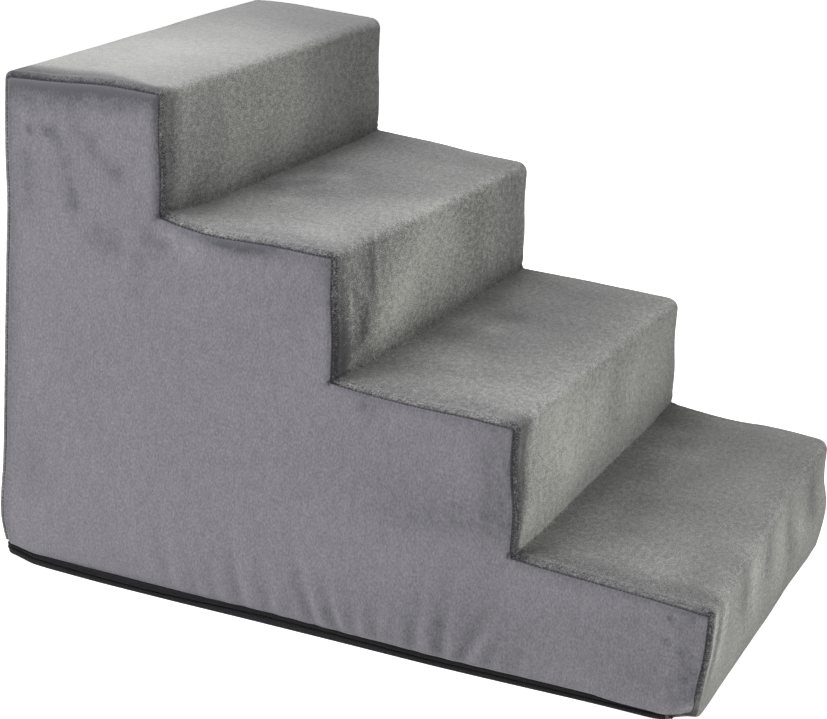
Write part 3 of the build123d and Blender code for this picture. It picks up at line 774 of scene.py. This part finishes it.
# On the near side the hem and the chain under it wander up and down: rows of x and height, and x and shift
NEAR_HEM = [
    (-0.29, 0.011), (-0.25, 0.0103), (-0.2, 0.0095), (-0.147, 0.0094), (-0.1, 0.0102), (-0.0575, 0.011),
    (-0.0225, 0.011), (0.012, 0.0102), (0.046, 0.0095), (0.08, 0.0089), (0.121, 0.0088), (0.16, 0.0086),
    (0.2, 0.0081), (0.24, 0.0078), (0.29, 0.0077)]
NEAR_CHAIN = [
    (-0.28, 0), (-0.25, -0.0004), (-0.2, -0.0012), (-0.147, -0.0016), (-0.1, -0.0003), (-0.0575, 0.0009),
    (-0.0225, 0.0004), (0.012, 0.0001), (0.046, -0.0006), (0.08, -0.0012), (0.121, -0.001), (0.16, -0.0014),
    (0.2, -0.0018), (0.24, -0.0017), (0.265, -0.0012), (0.28, -0.0009)]
# Over the end of the zip the near hem is no higher than this: rows of x and height
NEAR_HEM_END = [(0.25, 0.0094), (0.272, 0.0064), (HEM_END_X - 0.0035, 0.0048), (HEM_END_X, FLOOR_GAP)]
# How far the chain bulges out below the near hem: rows of x and distance
NEAR_BULGE = [
    (-0.285, 0), (-0.25, 0.0028), (-0.2, 0.0042), (-0.13, 0.0036), (-0.07, 0.0022), (0, 0.0012),
    (0.08, 0.0006), (0.16, 0.0004), (0.22, 0)]


def hem_line(x, side):
    """Height of a side panel's lower edge. On the near side it sinks over the end of the zip."""
    if side > 0:
        return np.interp(x, [HEM_START_X, HEM_END_X], [HEM_HEIGHT, FLOOR_GAP])
    return np.minimum(swayed(x, NEAR_HEM), looked_up(x, NEAR_HEM_END)[0])


def inside(points, border):
    """Which points lie inside a closed border."""
    odd = np.zeros(len(points), bool)
    for (x0, z0), (x1, z1) in zip(border, np.roll(border, -1, axis=0)):
        crosses = (z0 > points[:, 1]) != (z1 > points[:, 1])
        if z0 != z1:
            odd ^= crosses & (points[:, 0] < (x1 - x0) * (points[:, 1] - z0) / (z1 - z0) + x0)
    return odd


def distance_to(points, line):
    """Distance of each point from the nearest point of a line."""
    return np.array([np.sqrt(np.min(np.sum((line - p) ** 2, axis=1))) for p in points])


def panel_plan(seam, side, insets, spacing):
    """Points of a side panel in the side view, and its faces. Each point has its x and z, its distance from
    the seam, the run of the seam there and its normal. Those away from the seam have 1 as their distance."""
    normals = normals_of(seam)
    last = np.argmax((seam[:, 1] < hem_line(seam[:, 0], side)) & (seam[:, 0] > 0))
    rows = [np.column_stack((seam[:last], np.zeros(last), RUN[:last], normals[:last]))]
    count = int((seam[last - 1, 0] - seam[0, 0]) / spacing)
    low_x = np.unique(np.concatenate((np.linspace(seam[last - 1, 0], seam[0, 0], count + 1)[1:-1],
                                      [HEM_START_X] if side > 0 else [])))[::-1]
    level = np.column_stack((low_x, hem_line(low_x, side)))
    border = np.vstack((seam[:last], level))

    def add_free(free):
        rows.append(np.column_stack((free, np.ones((len(free), 1)), np.zeros((len(free), 3)))))

    add_free(border[last:])
    fine_seam = at_run(seam, np.arange(len(seam)), np.linspace(0, len(seam) - 1, 4 * len(seam)))
    for inset in insets:
        ring = seam - normals * inset
        clear = (distance_to(ring, fine_seam) > inset * 0.93) & inside(ring, border)
        clear &= distance_to(ring, border[last:]) > spacing * 0.3
        thinned = clear & (np.concatenate(([1.0], np.linalg.norm(np.diff(ring, axis=0), axis=1))) > 0.0002)
        rows.append(np.column_stack((ring, np.full(len(ring), inset), RUN, normals))[thinned])
    for height in (0.0008, 0.002):
        low = level + (0, height)
        add_free(low[distance_to(low, seam) > 0.0015])
    xs, zs = np.meshgrid(np.arange(REAR_X, FRONT_X, spacing), np.arange(0.004, STEPS * RISE, spacing))
    grid = np.column_stack((xs.ravel(), zs.ravel()))
    grid = grid[inside(grid, border) & (grid[:, 1] > hem_line(grid[:, 0], side) + 0.004)]
    add_free(grid[distance_to(grid, seam) > insets[-1] + spacing * 0.6])
    plan = np.vstack(rows)
    found = triangulated(plan[:, :2], list(range(len(border)))[::-1])
    order = [original[0] if original else int(np.argmin(np.hypot(*(plan[:, :2] - np.array(spot)).T)))
             for original, spot in zip(found[3], found[0])]
    return plan[order], [tuple(face) for face in found[2]]


def panel_form(plan, side):
    """Points and outward directions of a side panel. Side is -1 for the near one and 1 for the far one."""
    bend = np.clip(EDGE_RADIUS - SEAM_INSET - plan[:, 2], 0, None)
    y = SIDE_Y - EDGE_RADIUS + np.sqrt(EDGE_RADIUS**2 - bend**2) - tuck(plan[:, 1])
    level = bend / EDGE_RADIUS
    points = np.column_stack((plan[:, 0], side * y, plan[:, 1]))
    out = np.column_stack((plan[:, 4] * level, side * np.sqrt(1 - level**2), plan[:, 5] * level))
    return points, out


# A fold's valley, the ridge beside it and how far off that is, and the painted shade on one flank and the
# painted light on the other: how far off each is, how wide and how strong
FOLD_WIDTH, RIDGE_WIDTH, RIDGE_OFF = 0.0042, 0.0045, 0.0085
PAINTED_SHADE_FLANK, PAINTED_LIGHT_FLANK = (-0.0042, 0.0056, 235), (0.0044, 0.004, 185)
# Upright folds where the cloth is gathered onto the zip: x at the hem, lean to the right per metre up, height
# and depth, in metres
HEM_FOLDS = [
    (-0.135, -0.25, 0.045, 0.0004), (-0.112, -0.2, 0.024, 0.0005), (-0.094, -0.3, 0.03, 0.0005),
    (-0.072, -0.25, 0.04, 0.0009), (-0.047, -0.22, 0.032, 0.0008), (-0.028, -0.2, 0.02, 0.0005),
    (-0.009, -0.35, 0.046, 0.0011), (0.01, -0.32, 0.032, 0.0012), (0.026, -0.24, 0.022, 0.0008),
    (0.044, -0.1, 0.026, 0.0008), (0.058, -0.04, 0.02, 0.0005), (0.075, 0.02, 0.036, 0.0011),
    (0.097, 0.04, 0.046, 0.0012), (0.114, 0.45, 0.04, 0.0013), (0.134, 0.35, 0.024, 0.0006),
    (0.156, 0.25, 0.02, 0.0006)]


def hem_folds(x, z, side):
    """How the hem's folds shape a side, dying out upwards, and the painted shade and light on their flanks.
    """
    up = np.clip(z - hem_line(x, side), 0, None)
    height, flank_painted_shading = np.zeros(len(x)), np.zeros(len(x))
    for number, (at_x, lean, reach, depth) in enumerate(HEM_FOLDS):
        at_x = at_x if side < 0 else 0.04 - at_x + 0.006 * math.sin(5 * number)
        off = x - at_x - lean * up * (1 if side < 0 else -0.7)
        fades = depth * bell(up, reach) * (0.35 + 0.65 * eased(up / 0.008))
        height -= fades * (bell(off, FOLD_WIDTH) - 0.55 * bell(off - RIDGE_OFF, RIDGE_WIDTH))
        # Painted shade on the fold's left flank and painted light on its right one
        for sign, (at, width, strength) in ((-1, PAINTED_SHADE_FLANK), (1, PAINTED_LIGHT_FLANK)):
            flank_painted_shading += sign * strength * fades * bell(off - at, width)
    return height, flank_painted_shading


# How deep the joint between two slabs shows on a side, from the lowest inner corner up
SLAB_LINES = (0.0009, 0.0004, 0.0002)


def panel_relief(plan, side):
    """Height of a side panel's soft unevenness over its even form."""
    x, z, edge, run = plan[:, :4].T
    flat = np.column_stack((x, z, 0 * x))
    near = edge < 0.5
    seed = 11.0 + side
    height = np.where(near, seam_dip(edge) + seam_pucker(run, edge, 2.0 + (side > 0)), 0)
    height += 0.0007 * rough(flat, 0.09, seed) + 0.00025 * rough(flat * (1, 0.5, 1), 0.025, seed + 1)
    height += hem_folds(x, z, side)[0] * np.where(near & (edge < 0.004), 0.3, 1)
    height -= 0.0007 * bell(z - hem_line(x, side), 0.0012) * (x < 0.22)
    if side < 0:
        height += 0.0024 * past(x, 0.215, 0.03) * before(z, 0.026, 0.012)
    for corner, (cx, cz) in enumerate(INNER_CORNERS):
        height += corner_star(x - cx + SEAM_INSET, z - cz + SEAM_INSET, corner + 1.0)
        back = np.clip(cx - x, 0, None)
        step = np.tanh((cz - 0.001 - 0.02 * np.sqrt(back) - z) / 0.0045) * bell(z - cz, 0.022)
        height += SLAB_LINES[corner] * step * eased(back / 0.008) * np.exp(-back / 0.055)
    return height


# Marks on the near side: x, z, length, width, turn, how much paler. Some are smudges and spots in the pile;
# the strips beside the seams and edges and the broad darker patches low down are painted shade.
SIDE_MARKS_AND_PAINTED_SHADE = [
    (-0.271, 0.366, 0.0035, 0.003, 20, -0.4), (-0.255, 0.367, 0.006, 0.006, -30, -0.36),
    (-0.234, 0.368, 0.006, 0.007, 40, -0.14), (-0.222, 0.358, 0.005, 0.009, 10, -0.24),
    (-0.244, 0.345, 0.006, 0.022, 12, -0.2), (-0.238, 0.314, 0.007, 0.012, 12, -0.2),
    (-0.203, 0.342, 0.01, 0.007, -25, -0.2), (-0.213, 0.35, 0.006, 0.004, 0, -0.06),
    (-0.275, 0.328, 0.007, 0.032, 0, -0.16), (-0.238, 0.306, 0.006, 0.004, 0, -0.16),
    (-0.212, 0.288, 0.014, 0.01, 0, -0.18), (-0.204, 0.28, 0.007, 0.006, 0, -0.1),
    (-0.163, 0.289, 0.009, 0.007, 30, -0.2), (-0.174, 0.295, 0.005, 0.009, 0, -0.2),
    (-0.1785, 0.275, 0.005, 0.01, 0, -0.16), (-0.178, 0.252, 0.003, 0.01, 0, -0.14),
    (-0.155, 0.298, 0.006, 0.004, 0, 0.2), (-0.14, 0.29, 0.012, 0.01, -30, 0.14),
    (-0.1, 0.2985, 0.022, 0.004, -6, -0.4), (-0.074, 0.3015, 0.016, 0.005, 0, -0.38),
    (0.018, 0.195, 0.006, 0.0045, 20, -0.34), (0.026, 0.188, 0.012, 0.002, 45, -0.12),
    (0.2689, 0.0854, 0.003, 0.003, 20, -0.34), (0.277, 0.0795, 0.003, 0.003, 0, -0.3),
    (0.2671, 0.0674, 0.003, 0.0025, -30, -0.3), (0.24, 0.075, 0.01, 0.007, 0, -0.08),
    (-0.04, 0.262, 0.012, 0.022, 0, -0.05), (-0.02, 0.3, 0.01, 0.03, 0, -0.12),
    (0.13, 0.15, 0.016, 0.045, 0, -0.22), (0.1, 0.125, 0.05, 0.014, 8, -0.14),
    (0.124, 0.032, 0.0032, 0.02, -18, 0.13), (0.05, 0.135, 0.07, 0.03, 0, -0.06),
    (0.235, 0.06, 0.05, 0.03, 0, -0.08), (0.12, 0.035, 0.06, 0.035, 0, -0.16),
    (0, 0.03, 0.08, 0.025, 0, -0.06), (-0.235, 0.398, 0.07, 0.01, -4, -0.14),
    (0.26, 0.03, 0.04, 0.02, 0, -0.12), (0.285, 0.045, 0.009, 0.05, 0, -0.26),
    (-0.27, 0.09, 0.012, 0.03, 0, -0.1), (-0.285, 0.2, 0.006, 0.1, 0, -0.08)]
# For the painted shade in a band below each top seam, from the lowest tread up: how far it reaches down, how
# dark it is, where it is widest along its tread, and how much darker the first few millimetres are
TOP_SEAM_SHADE_BANDS = [(0.006, 0.06, 0.8, 0.28), (0.007, 0.04, 0.8, 0.26), (0.009, 0.14, 0.75, 0.24),
             (0.024, 0.34, 0.2, 0.40)]
SIDE_FRINGE_WIDTH, TOP_FRINGE_WIDTH = 0.0036, 0.005


def panel_marks_and_painted_shading(plan, side):
    """How much paler or darker a side reads: painted shade in a band below each top seam and right at its
    seams, painted shade and light on the hem's folds, and on the near side its marks with more painted shade.
    """
    x, z = plan[:, 0], plan[:, 1]
    flat = np.column_stack((x, z, 0 * x))
    step = np.clip(np.ceil((FRONT_X - x) / GOING).astype(int) - 1, 0, STEPS - 1)
    below = np.array(NOSE_Z)[step] - SEAM_INSET - z
    along = np.clip(1 - (np.array(NOSE_X)[step] - x) / GOING, 0, 1)
    reach, depth, widest, fringe = np.array(TOP_SEAM_SHADE_BANDS)[step].T
    ragged = 1 + 0.6 * rough(flat, 0.014, 9.0) + 0.4 * rough(flat, 0.006, 8.0)
    fade = np.where(step < STEPS - 1, eased(along / 0.25), 1)
    # Painted shade in a band below each top seam
    lean = -depth * fade * bell(below, reach * ragged * (1 - 0.6 * np.abs(along - widest)))
    fringe_width = np.where(step < STEPS - 1, SIDE_FRINGE_WIDTH, TOP_FRINGE_WIDTH)
    # Painted shade right at the seams
    lean -= fringe * bell(plan[:, 2], fringe_width) * (along < 0.97)
    # Painted shade and light on the flanks of the hem's folds
    lean += hem_folds(x, z, side)[1]
    if side < 0:
        # Smudges and spots on the near side, with painted shade beside its seams and low down
        lean += strokes(x, z, SIDE_MARKS_AND_PAINTED_SHADE) * (1 + 0.9 * rough(flat, 0.0045, 4.0))
    return lean


# Distances from the seam at which a side panel's mesh follows it, and its cells away from the seam: for the
# simulated cloth and for the one that shows
COARSE_INSETS, COARSE_STEP = np.array([5]) / 1000, 0.009
FINE_INSETS = np.array([0.35, 0.8, 1.4, 2.3, 3.8, 6, 8.5]) / 1000


def panel_swell(seam, side, points):
    """A side panel's simulated swelling at some points. It is held all along its seam and its hem."""
    plan, faces = panel_plan(seam, side, COARSE_INSETS, COARSE_STEP)
    form, _ = panel_form(plan, side)
    if side > 0:
        faces = [face[::-1] for face in faces]
    over_hem = np.clip(plan[:, 1] - hem_line(plan[:, 0], side), 0, None)
    held = np.clip(1 - (np.minimum(distance_to(plan[:, :2], seam[::3]), over_hem) - 0.004) / 0.016, 0, 1)
    return carried(points, form, swelled(form, faces, held))


def side_panel(name, side):
    """A side panel of the cover. Side is -1 for the near one and 1 for the far one."""
    seam = seam_of(side)
    plan, faces = panel_plan(seam, side, FINE_INSETS, CLOTH_STEP)
    points, out = panel_form(plan, side)
    points = settled(points + panel_swell(seam, side, points) + out * panel_relief(plan, side)[:, None])
    points[:, 2] = np.maximum(points[:, 2], FLOOR_GAP)
    place = np.column_stack((plan[:, 1], plan[:, 0], 0 * plan[:, 0]))
    if side > 0:
        faces = [face[::-1] for face in faces]
    return thickened(meshed(name, points, faces, side_velour, place, pile=panel_marks_and_painted_shading(plan, side),
                            ruffled=np.ones(len(points))), CLOTH)


cover_near_side = side_panel("cover_near_side", -1)
cover_far_side = side_panel("cover_far_side", 1)


# Stitches
# A stitch seen from its middle: places along it as shares of its length, how thick it is there as a share of
# the thread's radius, and how many radii it bows up
STITCH = [(-0.5, 0.35, -1.0), (-0.32, 0.95, 0.0), (0.0, 1.0, 0.35), (0.32, 0.95, 0.0), (0.5, 0.35, -1.0)]
STITCH_PITCH = 0.003
THREAD_SIDES = np.linspace(0, 2 * np.pi, 6, endpoint=False)


def ringed(middle, radius, across, up):
    """A ring of points round the middle of a thread."""
    return [middle + radius * (math.cos(a) * across + math.sin(a) * up) for a in THREAD_SIDES]


def stitch_row(name, line, out, length, radius, lift, ends=()):
    """A row of short sewn stitches along a line, with loose thread ends. Each stitch bows up out of the cloth
    and dips at its ends."""
    run = run_along(line)
    points, faces = [], []
    for start in np.arange(STITCH_PITCH / 2, run[-1] - STITCH_PITCH / 2, STITCH_PITCH):
        at, ahead = at_run(line, run, [start, start + 0.0005])
        up = unit(at_run(out, run, [start])[0])
        forward = unit(ahead - at)
        across = unit(np.cross(forward, up))
        tube(points, faces, [ringed(at + forward * place * length + up * (lift + bow * radius), radius * size,
                                    across, up) for place, size, bow in STITCH])
    for path in ends:
        rings = []
        for middle, ahead in zip(path, np.gradient(path, axis=0)):
            across = unit(np.cross(ahead, (0.3, 0.9, 0.31)))
            rings.append(ringed(middle, 0.8 * radius, across, unit(np.cross(across, ahead))))
        tube(points, faces, rings)
    return meshed(name, points, faces, sewing_thread)


def thread_ends(corner, turn):
    """Two cut ends and a small knot of thread where a seam turns an inner corner. Corner is their place."""
    def bent(length, heading, lift, curl):
        t = np.linspace(0, 1, 7)
        angle = math.radians(heading + turn) + curl * t
        return corner + np.column_stack((length * t * np.cos(angle), -0.0002 - lift * np.sin(2.6 * t),
                                         length * t * np.sin(angle)))
    around = np.linspace(0, 2 * np.pi, 9)
    knot = np.column_stack((0.0007 * np.cos(around), -0.0003 - 0.0005 * np.sin(2 * around),
                            0.0007 * np.sin(around)))
    return [bent(0.0045, 205, 0.0010, 0.7), bent(0.0032, 262, 0.0012, -0.6), bent(0.0028, 150, 0.0009, 0.9),
            corner + knot]


def seam_stitches(name, side):
    """The stitches of a side seam. The near one has loose ends at its inner corners."""
    seam = seam_of(side)
    keep = (seam[:, 1] > hem_line(seam[:, 0], side)) | (seam[:, 0] < 0)
    out, seam = seam_out(seam, side)[keep], seam[keep]
    line = settled(np.column_stack((seam[:, 0], side * (SEAM_Y - tuck(seam[:, 1])), seam[:, 1])))
    loose = []
    for number, (x, z) in enumerate(INNER_CORNERS if side < 0 else []):
        corner = line[np.argmin(np.hypot(line[:, 0] - x, line[:, 2] - z))]
        loose += thread_ends(corner + (-0.0004, -0.0006, -0.0006), 35 * number)
    return stitch_row(name, line, out, length=0.0025, radius=0.0004, lift=-0.0004, ends=loose)


near_stitches = seam_stitches("seam_stitches_near", -1)
far_stitches = seam_stitches("seam_stitches_far", 1)


# Zip
def zip_line(inset, front):
    """Line of the zip seen from above: along the near side, round the rear and along the far side."""
    y, rear = SIDE_Y - inset, REAR_X + inset
    radius = EDGE_RADIUS + HEM_INSET - inset
    corners = [(front, -y), (rear, -y), (rear, y), (front, y)]
    path, middles = joined([corners[0:2], corners[1:3], corners[2:4]], [radius, radius])
    knots = knots_of(path, middles)
    points = placed(path, knots, spread(path, knots, 0.002, turn_step=0.2))
    return points, normals_of(points), run_along(points)


def on_near_side(points):
    """How far points of the zip's line belong to the near side, and how far up and out the chain is there."""
    near = before(points[:, 1], -0.17, 0.02)
    return near, near * swayed(points[:, 0], NEAR_CHAIN), near * swayed(points[:, 0], NEAR_BULGE)


def tape_band(name, profile):
    """A tape along the zip, from rows given from its lower to its upper edge: inset past the tape's own and
    height, the same two on the near side, and how much it goes up and out there with the chain."""
    points, normals, run = zip_line(TAPE_INSET, ZIP_FRONT_X)
    width = run_along(np.array(profile)[:, :2])
    near, shift, bulge = on_near_side(points)
    rows = []
    for inset, height, near_inset, near_height, upward, outward in profile:
        inset = inset + near * (near_inset - inset) - bulge * outward
        rows.append(np.column_stack((points - normals * inset[:, None],
                                     height + near * (near_height - height) + shift * upward)))
    stacked = settled(np.stack(rows, axis=1).reshape(-1, 3))
    place = np.stack(np.broadcast_arrays(run[:, None], width[None, :], 0.0), axis=-1).reshape(-1, 3)
    return meshed(name, stacked, grid_faces(len(points), len(profile)), zip_cloth, place)


LOWER_EDGE, UPPER_EDGE = CHAIN_CENTRE - CHAIN_GAP / 2, CHAIN_CENTRE + CHAIN_GAP / 2
TAPE_TOP = HEM_HEIGHT + 0.008
UPPER_TAPE = [(0, z, 0, z, min((TAPE_TOP - z) / 0.0095, 1), np.clip((0.0105 - z) / 0.0025, 0, 1))
              for z in np.linspace(UPPER_EDGE, TAPE_TOP, 7)]
# The lower tape turns in under the base, and on the near side it hangs over the base's edge, nearly down to
# the floor.
LOWER_TAPE = [(0.009, 0.002, 0.009, 0.002, 0, 0), (0.004, 0.002, 0.004, 0.002, 0, 0),
              (0.0009, 0.002, 0.0013, 0.0018, 0, 0.2), (0.0003, 0.0022, 0.0006, 0.0007, 0, 0.85),
              (0, 0.0028, -0.0002, 0.0008, 0, 1), (0, 0.004, 0, 0.0036, 0.9, 1),
              (0, LOWER_EDGE, 0, LOWER_EDGE, 1, 1)]
zip_upper = tape_band("zip_tape_above", UPPER_TAPE)
zip_lower = tape_band("zip_tape_below", LOWER_TAPE)

COIL_PITCH, FIBRE = 0.0015, 0.00033
# One loop of the coil's fibre: how far out it stands from the tape and how far in from the row's outer edge
LOOP = np.array([(0.30, 0.45), (1.15, 0.40), (1.45, 1.10), (1.40, 1.85), (0.95, 2.25), (0.30, 2.2)]) / 1000


def coil_row(name, way):
    """A row of the coil chain: a bent loop of fibre at each tooth. Way is 1 above the gap and -1 below."""
    points, normals, run = zip_line(TAPE_INSET, CHAIN_FRONT_X)
    starts = np.arange(COIL_PITCH / 2, run[-1], COIL_PITCH)
    middles, outs = at_run(points, run, starts), at_run(normals, run, starts)
    _, shift, bulge = on_near_side(middles)
    middles = middles + outs * bulge[:, None]
    edges = CHAIN_CENTRE + way * CHAIN_HALF + shift
    bend = np.gradient(LOOP, axis=0)
    bend /= np.linalg.norm(bend, axis=1)[:, None]
    spots, faces = [], []
    for middle, out, edge in zip(middles, outs, edges):
        out = unit(out)
        ahead = np.array([-out[1], out[0]])
        rings = []
        for (depth, height), (dx, dz) in zip(LOOP, bend):
            ring = []
            for a in np.linspace(0, 2 * np.pi, 5, endpoint=False):
                side, up = FIBRE * math.cos(a), FIBRE * math.sin(a)
                flat = middle + out * (depth - dz * up) + ahead * side
                ring.append((*flat, edge - way * (height + dx * up)))
            rings.append(ring)
        tube(spots, faces, rings)
    return meshed(name, settled(np.array(spots)), faces, coil_fibre)


coil_above = coil_row("zip_coil_above", 1)
coil_below = coil_row("zip_coil_below", -1)


# Base and foam
def base_sheet():
    """The base cloth: flat below, with its front edge sewn to the strip's hem."""
    y, rear, front, radius = SIDE_Y - BASE_INSET, REAR_X + BASE_INSET, STRIP_END_X, EDGE_RADIUS / 2
    corners = [(front, -y), (front, y), (rear, y), (rear, -y)]
    sides = [corners[0:2], corners[1:3], corners[2:4], [corners[3], corners[0]]]
    path, middles = joined(sides, [0, radius, radius])
    knots = knots_of(path, middles)
    edge = placed(path, knots, spread(path, knots, 0.008))[:-1]
    xs, ys = np.meshgrid(np.arange(rear + 0.008, front - 0.005, 0.012),
                         np.arange(-y + 0.008, y - 0.005, 0.012))
    plan = np.vstack((edge, np.column_stack((xs.ravel(), ys.ravel()))))
    found = triangulated(plan, list(range(len(edge))))
    flat = np.array([tuple(v) for v in found[0]])
    points = settled(np.column_stack((flat, np.full(len(flat), 0.002))))
    return meshed("base_sheet", points, [tuple(f) for f in found[2]], lining_cloth,
                  np.column_stack((flat, 0 * flat[:, 0])))


base = thickened(base_sheet(), 0.002)


def foam_slab(number):
    """A slab of foam: the CAD form, cut a little uneven as a saw or hot wire leaves it."""
    source = frame["nodes"][f"foam_slab_{number}"]
    made = added(f"foam_{number}", source.data.copy())
    made.data.materials.clear()
    made.data.materials.append(foam_cells)
    remesh = made.modifiers.new("even mesh", "REMESH")
    remesh.mode, remesh.voxel_size = "VOXEL", 0.007
    bpy.context.view_layer.update()
    evened = shaped(made)
    made.modifiers.clear()
    made.data = evened
    points, normals = read_out(evened, "co"), read_out(evened, "normal")
    uneven = 0.0006 + 0.0004 * rough(points, 0.03, number)
    points = settled(points - normals * uneven[:, None])
    points[:, 2] = np.clip(points[:, 2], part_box(f"foam_slab_{number}")[0].z, None)
    evened.vertices.foreach_set("co", points.ravel())
    evened.polygons.foreach_set("use_smooth", [True] * len(evened.polygons))
    evened.update()
    return made


foam = [foam_slab(number) for number in range(1, STEPS + 1)]


# Hidden sewing
def hidden_stitches(name, line):
    """Stitches along a line on flat cloth."""
    up = np.tile((0.0, 0.0, 1.0), (len(line), 1))
    return stitch_row(name, line, up, length=0.0026, radius=0.0003, lift=0.0)


def zip_stitches(name, inset, height):
    """Stitches all along the zip, at one inset and height."""
    points, _, _ = zip_line(inset, ZIP_FRONT_X)
    return hidden_stitches(name, settled(np.column_stack((points, np.full(len(points), height)))))


stitches_above = zip_stitches("zip_stitches_above", TAPE_INSET + TAPE + 0.0004, 0.0144)
stitches_below = zip_stitches("zip_stitches_below", TAPE_INSET + 0.0044, 0.003)
across = np.linspace(-SIDE_Y + BASE_INSET, SIDE_Y - BASE_INSET, 60)
hem_sewing = np.array([(STRIP_END_X - 0.0004, y, 0.0016) for y in across])
front_stitches = hidden_stitches("front_hem_stitches", hem_sewing)

# What each piece stands for
STANDS_FOR = [
    (cover_strip, "tread_strip", "velour_strip"),
    (cover_near_side, "left_side_panel", "velour_side"),
    (cover_far_side, "right_side_panel", "velour_side"),
    (base, "base_panel", "base_cloth"),
    (zip_upper, "zip_tape_upper", "zip_tape"),
    (zip_lower, "zip_tape_lower", "zip_tape"),
    (coil_above, "zip_coil_upper", "zip_coil"),
    (coil_below, "zip_coil_lower", "zip_coil"),
    (near_stitches, "left_seam_thread", "thread"),
    (far_stitches, "right_seam_thread", "thread"),
    (stitches_above, "zip_thread_upper", "thread"),
    (stitches_below, "zip_thread_lower", "thread"),
    (front_stitches, "front_hem_thread", "thread")]
STANDS_FOR += [(slab, f"foam_slab_{number + 1}", "foam") for number, slab in enumerate(foam)]
for piece, node, slot in STANDS_FOR:
    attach(piece, "stairs")
    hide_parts(node)
for node in ("zip_slider", "zip_pull_tab", "zip_top_stops", "zip_bottom_stop"):
    frame["nodes"][node].data.materials.clear()
    frame["nodes"][node].data.materials.append(zip_metal)


# The zip tapes get their thickness, and the zip's length is worked out but not kept
for tape in (zip_upper, zip_lower):
    thickened(tape, TAPE)
    float(zip_line(TAPE_INSET, ZIP_FRONT_X)[2][-1])

# Stage, light and camera
def seen_white(tree):
    """1 for rays from the camera, a mirror or a clear piece, which see plain white, and 0 for light."""
    rays = add_node(tree, "LightPath").outputs
    seen = worked_out(tree, "MAXIMUM", rays["Is Camera Ray"], rays["Is Glossy Ray"])
    return worked_out(tree, "MAXIMUM", seen, rays["Is Transmission Ray"])


floor_paint, tree, shader = started("white paper floor")
plugged(tree, shader, Base_Color=paint("#f2f2f2"), Roughness=0.9)
strength = worked_out(tree, "MULTIPLY", seen_white(tree), 0.9)
glow = add_node(tree, "Emission", Color=(1, 1, 1, 1), Strength=strength)
both = add_node(tree, "AddShader", i0=shader.outputs[0], i1=glow.outputs[0])
under = add_node(tree, "NewGeometry").outputs["Backfacing"]
clear = add_node(tree, "BsdfTransparent")
whole = add_node(tree, "MixShader", i0=under, i1=both.outputs[0], i2=clear.outputs[0])
plugged(tree, tree.nodes["Material Output"], Surface=whole.outputs[0])
FLOOR_HALF = 6
floor_corners = [(x * FLOOR_HALF, y * FLOOR_HALF, 0) for x, y in ((-1, -1), (1, -1), (1, 1), (-1, 1))]
floor = meshed("floor", floor_corners, [(0, 1, 2, 3)], floor_paint, smooth=False)

world = bpy.data.worlds.new("studio")
bpy.context.scene.world = world
world.use_nodes = True
tree = world.node_tree
ambient = plugged(tree, tree.nodes["Background"], Color=(1, 1, 1, 1), Strength=0.06)
white = add_node(tree, "Background", Color=(1, 1, 1, 1), Strength=1.0)
mixed = add_node(tree, "MixShader", i0=seen_white(tree), i1=ambient.outputs[0], i2=white.outputs[0])
plugged(tree, tree.nodes["World Output"], Surface=mixed.outputs[0])


def softbox(name, place, aim, width, height, power, tint):
    """A square studio lamp behind a diffuser, aimed at a point."""
    lamp = bpy.data.lights.new(name, "AREA")
    lamp.shape, lamp.size, lamp.size_y, lamp.energy = "RECTANGLE", width, height, power
    lamp.color = paint(tint)[:3]
    made = added(name, lamp)
    made.location = place
    made.rotation_mode = "QUATERNION"
    made.rotation_quaternion = (Vector(aim) - Vector(place)).to_track_quat("-Z", "Y")


softbox("softbox over the top step", (-0.45, -0.30, 1.40), (-0.05, 0.0, 0.2), 0.9, 0.9, 15.5, "#fdfdff")
softbox("softbox at the low end", (1.60, -0.50, 0.40), (0.0, 0.0, 0.2), 1.0, 0.8, 16.0, "#fffff8")
softbox("softbox at the left", (-1.60, -1.60, 0.70), (0.0, 0.0, 0.2), 1.2, 1.0, 19.0, "#ffffff")
softbox("softbox behind", (-0.55, 1.80, 0.52), (0.0, 0.2, 0.2), 0.8, 0.4, 4.5, "#ffffff")

# The camera of the photo: its focal length in pixels of the frame's width, and the way it looks
FOCAL_PIXELS, FRAME_PIXELS = 2140.0, 827
azimuth, elevation, roll = (math.radians(a) for a in (22.268, 18.67, 3.92))
back = Vector((math.sin(azimuth) * math.cos(elevation), -math.cos(azimuth) * math.cos(elevation),
               math.sin(elevation)))
level_right = Vector((math.cos(azimuth), math.sin(azimuth), 0))
level_up = back.cross(level_right)
right = math.cos(roll) * level_right + math.sin(roll) * level_up
upward = back.cross(right)
lens = bpy.data.cameras.new("camera")
lens.sensor_width = 36.0
lens.lens = FOCAL_PIXELS * lens.sensor_width / FRAME_PIXELS
lens.clip_start, lens.clip_end = 0.05, 50.0
camera = added("camera", lens)
camera.matrix_world = Matrix((right, upward, back)).transposed().to_4x4()
camera.location = (0.6198, -1.5725, 0.7421)
bpy.context.scene.camera = camera
bpy.context.scene.view_settings.view_transform = "Standard"
